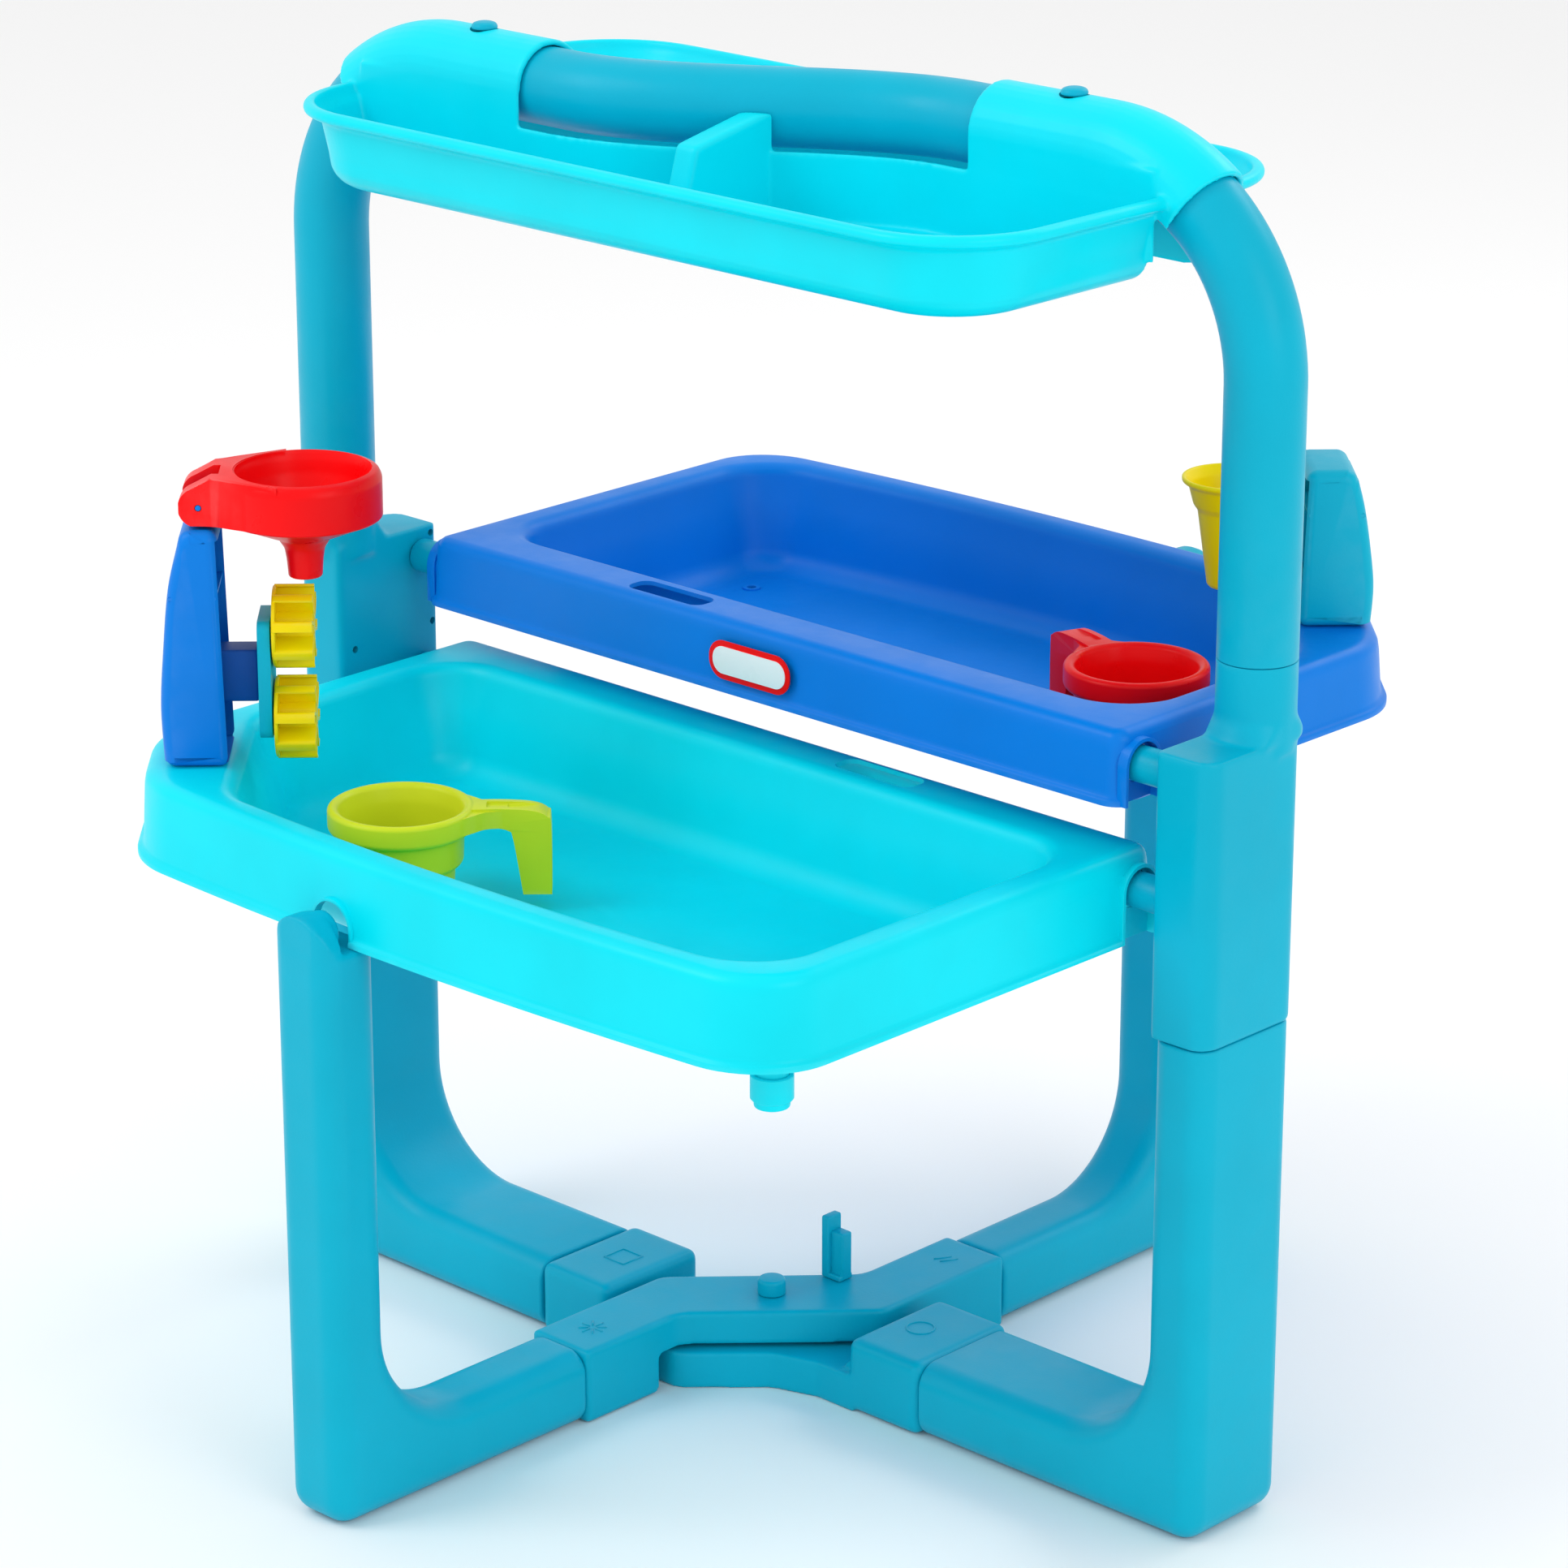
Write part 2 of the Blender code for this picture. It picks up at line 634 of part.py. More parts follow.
def tower_frame(level):
    """Matrix from a tower's own axes (r, t, z) to the table's: r along +X +Y, t along +X -Y."""
    y = LOWER_TOWER_Y if level == "lower" else UPPER_TOWER_Y
    x = -TOWER_XY if level == "lower" else TOWER_XY
    return Matrix.Translation((x, y, 0)) @ Matrix.Rotation(pi / 4, 4, "Z")


def tower(name, level, base, top, foot_r, top_r, mat, knuckle_z=None):
    """A hollow tower with a bowed back, open towards the tray's middle.

    In its own axes the opening faces +r for the lower tower, and the upper one is the same turned round.
    """
    bow = [(0.0, 0.0), (-0.0015, 0.25), (0.0015, 0.5), (0.0060, 0.75)]
    height = top - base
    back = [(-foot_r + x, base + height * share) for x, share in bow]
    round_top = arc(-top_r + 0.008, top - 0.008, 0.008, 180, 90, 3)
    front = [(foot_r - 0.004, top), (foot_r, base)]
    solid = plate("tower", [*back, *round_top, *front], -TOWER_HALF_T, TOWER_HALF_T, "Y")
    solid = bevelled(solid, 0.006, 2, 60.0)
    wall = 0.0030
    inside = [(x + wall, z + (wall if i == 0 else 0)) for i, (x, z) in enumerate(back)]
    inside += [(-top_r + wall + 0.004, top - wall - 0.004), (foot_r + 0.01, top - wall - 0.004)]
    inside.append((foot_r + 0.01, base + wall))
    hollow = plate("hollow", inside, -TOWER_HALF_T + wall, TOWER_HALF_T - wall, "Y")
    solid = cut(solid, hollow)
    if knuckle_z:
        ear = rod("ear", 0.0090, (0.006, -0.0100, knuckle_z), (0.006, 0.0100, knuckle_z), 20)
        stem = block("stem", -0.002, 0.014, -0.0100, 0.0100, top - 0.006, knuckle_z)
        bore = rod("bore", 0.0023, (0.006, -0.02, knuckle_z), (0.006, 0.02, knuckle_z), 16)
        solid = cut(joined(solid, ear, stem), bore)
    if level == "upper":
        solid = moved(solid, Matrix.Rotation(pi, 4, "Z"))
    return finish(name, moved(solid, tower_frame(level)), mat)


def bracket(name, level, base, r_from, r_to, mat):
    """The arm that stands out of a tower."""
    z0 = base + 0.0400
    solid = block("bracket", r_from, r_to, -0.0110, 0.0110, z0, z0 + 0.0360, 0.0020)
    if level == "upper":
        solid = moved(solid, Matrix.Rotation(pi, 4, "Z"))
    return finish(name, moved(solid, tower_frame(level)), mat)


# Water wheels: centre heights, reach along r, radius
WHEEL_Z = (0.5530, 0.4895)
WHEEL_R = 0.0285
WHEEL_FROM, WHEEL_TO = 0.0512, 0.0790
PLATE_FROM, PLATE_TO = 0.0415, 0.0500
BRACKET_END = 0.0412
AXLE_R = 0.0026


def wheel_plate(mat):
    outline = box_outline(-0.0240, 0.0240, WHEEL_Z[1] - 0.009, WHEEL_Z[0] + 0.009, 0.006, 3)
    solid = plate("plate", outline, PLATE_FROM, PLATE_TO, "X")
    bores = [rod("bore", AXLE_R + GAP, (0.03, 0, z), (0.06, 0, z), 16) for z in WHEEL_Z]
    return finish("wheel_plate", moved(cut(solid, *bores), tower_frame("lower")), mat)


def paddle_wheel(name, height, mat):
    """A back disc and a hub, with eight paddles whose tips turn over."""
    outline = []
    for k in range(8):
        paddle = [(0.0072, -0.0011), (0.0276, -0.0011), (0.0270, 0.0080), (0.0252, 0.0078), (0.0256, 0.0011)]
        paddle.append((0.0072, 0.0011))
        turn = Matrix.Rotation(k * pi / 4, 2)
        outline += [tuple(turn @ Vector(point)) for point in paddle]
    paddles = plate("paddles", outline, WHEEL_FROM + 0.0010, WHEEL_TO - 0.0006, "X")
    disc = rod("disc", WHEEL_R - 0.002, (WHEEL_FROM, 0, 0), (WHEEL_FROM + 0.0025, 0, 0), 24)
    hub = rod("hub", 0.0076, (WHEEL_FROM + 0.0005, 0, 0), (WHEEL_TO - 0.0032, 0, 0), 20)
    bore = rod("bore", AXLE_R + RUN, (WHEEL_FROM - 0.01, 0, 0), (WHEEL_TO + 0.01, 0, 0), 16)
    sink = rod("sink", 0.0056, (WHEEL_TO - 0.0032, 0, 0), (WHEEL_TO + 0.01, 0, 0), 20)
    solid = cut(joined(paddles, disc, hub), bore, sink)
    solid = moved(solid, tower_frame("lower") @ Matrix.Translation((0, 0, height)))
    return finish(name, solid, mat, tower_frame("lower") @ Vector((WHEEL_FROM, 0, height)))


def wheel_axle(name, height, mat):
    """A pin with a head that keeps its wheel on, sunk between the paddles."""
    shaft = rod("shaft", AXLE_R, (PLATE_FROM + 0.001, 0, height), (WHEEL_TO - 0.0015, 0, height), 16)
    head = rod("head", 0.0050, (WHEEL_TO - 0.0026, 0, height), (WHEEL_TO - 0.0006, 0, height), 20)
    return finish(name, moved(joined(shaft, head), tower_frame("lower")), mat)


# Funnel: ring centre along r, ring radius, heights of the hinge, the ring and the spout
RING_AT, RING_R = 0.0735, 0.0525
RING_TOP, RING_LOW, SPOUT_LOW = 0.6620, 0.6290, 0.5880
KNUCKLE_R, KNUCKLE_Z = 0.0060, 0.6420


def funnel(mat):
    """A bowl with a spout, and two ears that straddle the tower's knuckle."""
    lip = 0.0030
    profile = [(RING_R - 0.003, RING_TOP), (RING_R, RING_TOP - 0.003), (RING_R, RING_LOW), (RING_R - 0.003, RING_LOW)]
    profile += [(0.0180, 0.6160), (0.0125, 0.6080), (0.0115, SPOUT_LOW), (0.0088, SPOUT_LOW), (0.0098, 0.6100)]
    profile += [(0.0180, 0.6200), (0.0380, 0.6290), (RING_R - 0.0120, 0.6420), (RING_R - 0.0080, RING_TOP)]
    bowl = moved(turned("bowl", profile, 28), Matrix.Translation((RING_AT, 0, 0)))
    back = arc(KNUCKLE_R, KNUCKLE_Z, 0.0135, 110, 250, 6)
    front = [(0.0300, RING_LOW + 0.0006), (0.0300, RING_TOP - 0.0006), (0.0140, RING_TOP - 0.0006)]
    ears = plate("ears", back + front, -0.0250, 0.0250, "Y")
    ears = bevelled(ears, 0.002, 2)
    inside = rod("inside", RING_R - lip - 0.004, (RING_AT, 0, RING_LOW - 0.01), (RING_AT, 0, RING_TOP + 0.02), 40)
    slit = block("slit", -0.02, 0.0190, -0.0106, 0.0106, RING_LOW - 0.02, RING_TOP + 0.02)
    bore = rod("bore", 0.0023, (KNUCKLE_R, -0.04, KNUCKLE_Z), (KNUCKLE_R, 0.04, KNUCKLE_Z), 16)
    ears = cut(ears, inside, slit)
    solid = cut(joined(bowl, ears, solver="MANIFOLD"), bore, solver="MANIFOLD")
    solid = moved(solid, tower_frame("lower"))
    return finish("funnel", solid, mat, tower_frame("lower") @ Vector((KNUCKLE_R, 0, KNUCKLE_Z)))


def funnel_pin(mat):
    solid = rod("pin", 0.0019, (KNUCKLE_R, -0.0255, KNUCKLE_Z), (KNUCKLE_R, 0.0255, KNUCKLE_Z), 16)
    return finish("funnel_pin", moved(solid, tower_frame("lower")), mat)


# Tipping cup on the upper tower
CUP_PIN_Z = 0.6130
CUP_AT = -0.0680
CUP_RIM_Z, CUP_LOW_Z = 0.6430, 0.5660


def tipping_cup(mat):
    outer = [(0.0335, CUP_RIM_Z), (0.0335, CUP_RIM_Z - 0.003), (0.0290, CUP_RIM_Z - 0.006), (0.0255, 0.6240)]
    outer += [(0.0225, 0.6200), (0.0150, CUP_LOW_Z + 0.002), (0.0130, CUP_LOW_Z), (0.0, CUP_LOW_Z)]
    inner = [(0.0, CUP_LOW_Z + 0.0160), (0.0140, CUP_LOW_Z + 0.0160), (0.0205, 0.6200), (0.0232, 0.6250)]
    inner += [(0.0265, CUP_RIM_Z - 0.006), (0.0310, CUP_RIM_Z)]
    cup = moved(turned("cup", outer + inner, 24), Matrix.Translation((CUP_AT, 0, 0)))
    hub = rod("hub", 0.0060, (CUP_AT + 0.0195, 0, CUP_PIN_Z), (-0.0400, 0, CUP_PIN_Z), 20)
    bore = rod("bore", 0.0026 + RUN, (CUP_AT + 0.0240, 0, CUP_PIN_Z), (-0.03, 0, CUP_PIN_Z), 16)
    solid = moved(cut(joined(cup, hub), bore), tower_frame("upper"))
    return finish("tipping_cup", solid, mat, tower_frame("upper") @ Vector((CUP_AT, 0, CUP_PIN_Z)))


def cup_pin(mat):
    """The pin that the tipping cup turns on, held by the bracket's end."""
    solid = rod("pin", 0.0026, (CUP_AT + 0.0250, 0, CUP_PIN_Z), (-0.0385, 0, CUP_PIN_Z), 16)
    flange = rod("flange", 0.0065, (-0.0392, 0, CUP_PIN_Z), (-0.0378, 0, CUP_PIN_Z), 20)
    return finish("cup_pin", moved(joined(solid, flange), tower_frame("upper")), mat)


# ---------------------------------------------------------------- loose cups

def scoop(name, x, y, floor, heading, mat):
    """A stepped cup with a hooked handle, standing on a tray's floor."""
    outer = [(0.0465, 0.0720), (0.0485, 0.0700), (0.0485, 0.0580), (0.0460, 0.0555), (0.0415, 0.0550)]
    outer += [(0.0405, 0.0340), (0.0375, 0.0310), (0.0350, 0.0310), (0.0335, 0.0015), (0.0320, 0.0), (0.0, 0.0)]
    inner = [(0.0, 0.0028), (0.0305, 0.0028), (0.0322, 0.0340), (0.0378, 0.0365), (0.0388, 0.0600)]
    inner.append((0.0435, 0.0720))
    cup = turned("cup", outer + inner, 26)
    hook = [(0.0455, 0.0710), (0.0920, 0.0680), (0.0985, 0.0600), (0.0985, 0.0120), (0.0860, 0.0120)]
    hook += [(0.0820, 0.0520), (0.0455, 0.0560)]
    handle = bevelled(plate("handle", hook, -0.0100, 0.0100, "Y"), 0.002, 1)
    handle = cut(handle, rod("clear", 0.0455, (0, 0, 0.02), (0, 0, 0.09), 40))
    solid = joined(cup, handle)
    place = Matrix.Translation((x, y, floor + GAP)) @ Matrix.Rotation(heading, 4, "Z")
    return finish(name, moved(solid, place), mat, (x, y, floor + GAP))


# ---------------------------------------------------------------- shelf

def shelf_ring(grow, height):
    outline = box_outline(
        -SHELF_HALF_X - grow, SHELF_HALF_X + grow, -SHELF_HALF_Y - grow, SHELF_HALF_Y + grow,
        SHELF_CORNER + grow, 5,
    )
    return [(x, y, height) for x, y in outline]


def under_arch(name, half_width, low, high):
    """An upright wall of even width that follows the arch in plan."""
    steps = [-0.42, -0.28, *[S_HALF * k / 5 for k in range(-5, 6)], 0.28, 0.42]
    near, far = [], []
    for x in steps:
        slope = Vector((0.02, s_curve(x + 0.01) - s_curve(x - 0.01))).normalized()
        across = Vector((-slope.y, slope.x)) * half_width
        near.append((x - across.x, s_curve(x) - across.y))
        far.append((x + across.x, s_curve(x) + across.y))
    return plate(name, near + far[::-1], low, high, "Z")


def under_bend(side):
    """The space below the arch's centre line where that bends down through the shelf's end."""
    bend = [(side * x, z) for x, _, z in arch_half(45.0)[1:]]
    end = side * 0.36
    outline = [(bend[0][0], 0.7), *bend, (end, bend[-1][1]), (end, 0.7)]
    near, far = sorted((side * (POST_Y - SADDLE_R + 0.0030), side * (POST_Y + SADDLE_R - 0.0030)))
    return plate("under_bend", outline, near, far, "Y")


def saddle(side):
    """A bar over the arch with a skirt down to the shelf, for one end of the shelf."""
    points = [(SADDLE_FROM, POST_Y, ARCH_Z), *arch_half(SADDLE_TURN)[1:]]
    bar = tube("saddle", [(side * x, side * y, z) for x, y, z in points], SADDLE_R)
    x0, x1 = sorted((side * (SADDLE_FROM + 0.0004), side * 0.3040))
    y0, y1 = sorted((side * (POST_Y - SADDLE_R + 0.0001), side * (POST_Y + SADDLE_R - 0.0001)))
    return joined(bar, block("skirt", x0, x1, y0, y1, 0.8400, ARCH_Z), solver="MANIFOLD")


def shelf(mat):
    tub = loft("tub", [
        shelf_ring(0.0, SHELF_RIM_Z),
        shelf_ring(0.0, SHELF_RIM_Z - 0.0080),
        shelf_ring(-0.0100, SHELF_RIM_Z - 0.0110),
        shelf_ring(-0.0250, SHELF_FLOOR_Z + 0.0100),
        shelf_ring(-0.0340, SHELF_FLOOR_Z),
    ], cap_first=True)
    well = loft("well", [
        shelf_ring(-0.0080, SHELF_RIM_Z + 0.1),
        shelf_ring(-0.0080, SHELF_RIM_Z - 0.0010),
        shelf_ring(-0.0280, SHELF_FLOOR_Z + 0.0130),
        shelf_ring(-0.0370, SHELF_FLOOR_Z + 0.0030),
    ], cap_first=True)
    keep = under_arch("keep", SADDLE_R, 0.7, 0.8750)
    solid = cut(tub, cut(well, keep, solver="MANIFOLD"), solver="MANIFOLD")
    solid = joined(solid, saddle(-1), saddle(1), solver="MANIFOLD")
    over = [(-0.1080, SHELF_FLOOR_Z + 0.001), (-0.0900, 0.8880), (-0.0300, 0.9000), (-0.0100, 0.8990), (-0.0100, SHELF_FLOOR_Z + 0.001)]
    fin = bevelled(plate("fin", over, 0.0010, 0.0210, "X"), 0.003, 2)
    solid = joined(solid, fin, solver="MANIFOLD")
    channel = meet(
        under_arch("channel", SADDLE_R - 0.0030, 0.7, ARCH_Z + 0.0010),
        block("straight", -BEND_X, BEND_X, -0.2, 0.2, 0.6, 1.0),
    )
    sleeve = tube("sleeve", arch_points(), TUBE_R + RUN)
    over_gap = under_arch("over_gap", SADDLE_R - 0.0041, 0.8, 1.0)
    between = block("between", -SADDLE_FROM, SADDLE_FROM, -0.2, 0.2, 0.85, 1.1)
    over_gap = meet(over_gap, between)
    solid = cut(solid, sleeve, channel, under_bend(-1), under_bend(1), over_gap, solver="MANIFOLD")
    holes = [
        rod("hole", 0.0098, (side * BUTTON_X, side * POST_Y, 0.90), (side * BUTTON_X, side * POST_Y, 1.0), 24)
        for side in (-1, 1)
    ]
    return finish("shelf", cut(solid, *holes, solver="MANIFOLD"), mat)


def meet(solid, other):
    return boolean(solid, other, "INTERSECT", "MANIFOLD")


def shelf_buttons(mat):
    """Spring buttons in the shelf's saddles, each with its travel above the arch."""
    for side, word in ((-1, "left"), (1, "right")):
        x, y = side * BUTTON_X, side * POST_Y
        low = ARCH_Z + TUBE_R + 0.0042
        profile = [(0.0, low + 0.0050), (0.0060, low + 0.0045), (0.0088, low + 0.0022), (0.0088, low), (0.0, low)]
        solid = moved(turned("button", profile, 24), Matrix.Translation((x, y, 0)))
        finish(f"shelf_button_{word}", solid, mat, (x, y, low))


# ---------------------------------------------------------------- badge

def badge(mat):
    """A plain oval badge on the upper tray's hinge side."""
    face = HINGE_Y - BACK - 0.0050
    outline = [(x - 0.0045, z + 0.5200) for x, z in box_outline(-0.0330, 0.0330, -0.0125, 0.0125, 0.0120, 6)]
    return finish("badge", plate("badge", outline, face - 0.0016, face - GAP, "Y"), mat)


# ---------------------------------------------------------------- assembly

def build():
    clear_scene()
    teal = material("teal", TEAL)
    aqua = material("aqua", AQUA)
    blue = material("blue", BLUE)
    dark_blue = material("dark_blue", DARK_BLUE)
    red = material("red", RED)
    yellow = material("yellow", YELLOW)
    lime = material("lime", LIME)
    steel = material("steel", STEEL, 0.3, 1.0)
    white = material("white", WHITE)

    wide_leg(teal)
    narrow_leg("front_leg", -1, LOWER_CAP_TOP, LOWER_RIM_Z - LOWER_SKIRT, teal)
    narrow_leg("back_leg", 1, UPPER_CAP_TOP, UPPER_RIM_Z - UPPER_SKIRT, teal)
    lower_cross(teal)
    upper_cross(teal)
    pivot_pin(teal)
    latch_peg(teal)
    hinge_post(teal)
    post_screws(steel)
    tray_pins(teal)
    arch_tube(teal)

    lower = tray("lower_tray", LOWER_REACH, LOWER_RIM_Z, LOWER_HINGE_Z, LOWER_SKIRT, LOWER_DRAIN, LOWER_CAP_TOP, aqua)
    place_tray(lower, "lower")
    upper = tray("upper_tray", UPPER_REACH, UPPER_RIM_Z, UPPER_HINGE_Z, UPPER_SKIRT, UPPER_DRAIN, UPPER_CAP_TOP, blue)
    place_tray(upper, "upper")
    drain_cap("lower_drain_cap", "lower", aqua)
    drain_cap("upper_drain_cap", "upper", blue)

    tower("wheel_tower", "lower", LOWER_RIM_Z + GAP, 0.6270, 0.0220, 0.0080, blue, KNUCKLE_Z)
    tower("cup_tower", "upper", UPPER_RIM_Z + GAP, 0.6540, 0.0250, 0.0130, teal)
    bracket("wheel_bracket", "lower", LOWER_RIM_Z, -0.0160, BRACKET_END, dark_blue)
    bracket("cup_bracket", "upper", UPPER_RIM_Z, -0.0130, 0.0375, teal)
    wheel_plate(teal)
    for word, height in zip(("upper", "lower"), WHEEL_Z):
        paddle_wheel(f"{word}_wheel", height, yellow)
        wheel_axle(f"{word}_wheel_axle", height, yellow)
    funnel(red)
    funnel_pin(blue)
    tipping_cup(yellow)
    cup_pin(teal)

    scoop("lime_scoop", -0.0920, -0.2550, LOWER_RIM_Z - BASIN_DEEP, radians(45), lime)
    scoop("red_scoop", 0.2245, 0.1140, UPPER_RIM_Z - BASIN_DEEP, radians(160), red)

    shelf(aqua)
    shelf_buttons(teal)
    badge(white)


build()
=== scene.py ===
"""Looks of the folding sand and water table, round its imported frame.

Metres, +Z up, in the same frame as the CAD: the origin is on the floor under the leg frames' pivot, X runs
along the tray hinges and the lower tray reaches towards -Y. Every moulding is rebuilt here with its full
roundings, from the same driving sizes as the CAD, and stands for its CAD node.
"""

import json
from math import cos, pi, radians, sin

import bmesh
import bpy
from mathutils import Matrix, Vector

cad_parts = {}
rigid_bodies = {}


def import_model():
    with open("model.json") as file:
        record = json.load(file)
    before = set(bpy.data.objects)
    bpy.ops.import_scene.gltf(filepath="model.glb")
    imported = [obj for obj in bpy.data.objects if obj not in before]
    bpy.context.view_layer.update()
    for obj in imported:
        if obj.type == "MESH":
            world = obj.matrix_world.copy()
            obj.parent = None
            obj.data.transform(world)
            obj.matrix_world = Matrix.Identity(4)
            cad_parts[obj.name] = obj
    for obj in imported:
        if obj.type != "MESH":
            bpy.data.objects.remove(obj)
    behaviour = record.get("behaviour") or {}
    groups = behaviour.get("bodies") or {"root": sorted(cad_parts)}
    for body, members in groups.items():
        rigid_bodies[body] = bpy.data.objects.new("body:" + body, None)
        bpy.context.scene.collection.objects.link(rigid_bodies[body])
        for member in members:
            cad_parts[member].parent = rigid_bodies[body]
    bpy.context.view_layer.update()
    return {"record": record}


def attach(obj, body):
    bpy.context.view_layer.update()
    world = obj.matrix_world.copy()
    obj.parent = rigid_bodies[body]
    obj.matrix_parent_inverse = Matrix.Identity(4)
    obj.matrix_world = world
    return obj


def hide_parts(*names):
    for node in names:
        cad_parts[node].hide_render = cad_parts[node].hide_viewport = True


for stale in list(bpy.data.objects):
    bpy.data.objects.remove(stale, do_unlink=True)

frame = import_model()
BODY_OF = {node: body for body, nodes in frame["record"]["behaviour"]["bodies"].items() for node in nodes}
SLOT_OF = {part["node"]: part["material_slot"] for part in frame["record"]["subparts"]}
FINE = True

GAP = 0.0003
RUN = 0.0006
FOOT_H = 0.0538
ARM_SEAM = 0.0300
POST_X, POST_Y = 0.3727, 0.0538
WIDE_IN, WIDE_OUT = 0.3505, 0.3965
WIDE_NEAR, WIDE_FAR = -0.0188, 0.0762
WIDE_SEAM = 0.1552
NARROW_IN, NARROW_OUT = 0.3380, 0.3860
NARROW_NEAR, NARROW_FAR = 0.0225, 0.0775
NARROW_SEAM = 0.1590
LEG_TOP, BLOCK_TOP, POST_TOP = 0.3485, 0.5430, 0.5920
FOOT_CURVE = 0.0750
CAP_IN, CAP_R = 0.3690, 0.0262
TUBE_R, BEND_R, ARCH_Z, S_HALF = 0.0262, 0.1300, 0.8980, 0.1300
BEND_X = POST_X - BEND_R
HALF_W, BACK, WALL, BASIN_DEEP, HINGE_Y = 0.3200, 0.0180, 0.0030, 0.0760, 0.0025
LOWER_HINGE_Z, LOWER_RIM_Z, LOWER_REACH, LOWER_SKIRT = 0.4370, 0.4634, 0.3560, 0.0600
UPPER_HINGE_Z, UPPER_RIM_Z, UPPER_REACH, UPPER_SKIRT = 0.5220, 0.5454, 0.3330, 0.0490
PIN_R, NOTCH_R = 0.0120, 0.0150
WIDE_EDGE, NARROW_EDGE, POST_INNER_EDGE, POST_OUTER_EDGE = 0.0165, 0.0160, 0.0050, 0.0140
LEG_NOTCH_X, LEG_NOTCH_R, LEG_NOTCH_RISE = 0.0477, 0.0167, 0.0040
LOWER_CAP_TOP, UPPER_CAP_TOP = 0.4265, 0.5280
LOWER_DRAIN, UPPER_DRAIN = (0.2520, 0.0910), (0.2400, 0.1060)
NOZZLE_R, NOZZLE_DROP = 0.0108, 0.0350
CAP_WIDE, CAP_TIP = 0.0138, 0.0115
TOE_R = 0.0175
SLOT_X, SLOT_L, SLOT_W = 0.0995, 0.0700, 0.0215
TOWER_XY, LOWER_TOWER_Y, UPPER_TOWER_Y, TOWER_HALF_T = 0.2570, -0.2850, 0.2760, 0.0320
SHELF_RIM_Z, SHELF_FLOOR_Z = 0.8830, 0.8260
SHELF_HALF_X, SHELF_HALF_Y, SHELF_CORNER = 0.3170, 0.1680, 0.0780
SADDLE_FROM, SADDLE_TURN, SADDLE_R, BUTTON_X = 0.1500, 37.0, 0.0310, 0.2130
WHEEL_Z, WHEEL_R, WHEEL_FROM, WHEEL_TO = (0.5530, 0.4895), 0.0285, 0.0512, 0.0790
PLATE_FROM, PLATE_TO, BRACKET_END, AXLE_R = 0.0415, 0.0500, 0.0412, 0.0026
RING_AT, RING_R, RING_TOP, RING_LOW, SPOUT_LOW = 0.0735, 0.0525, 0.6620, 0.6290, 0.5880
KNUCKLE_R, KNUCKLE_Z = 0.0060, 0.6420
CUP_PIN_Z, CUP_AT, CUP_RIM_Z, CUP_LOW_Z = 0.6130, -0.0680, 0.6430, 0.5660


QUARTER = (0.0, 0.25, 0.5, 0.8, 1.1, 1.35, pi / 2)
COARSE_QUARTER = (0.0, 0.3, 0.6, 0.9, 1.2, pi / 2)
WHEEL_REST = 0.335


# ---------------------------------------------------------------- materials

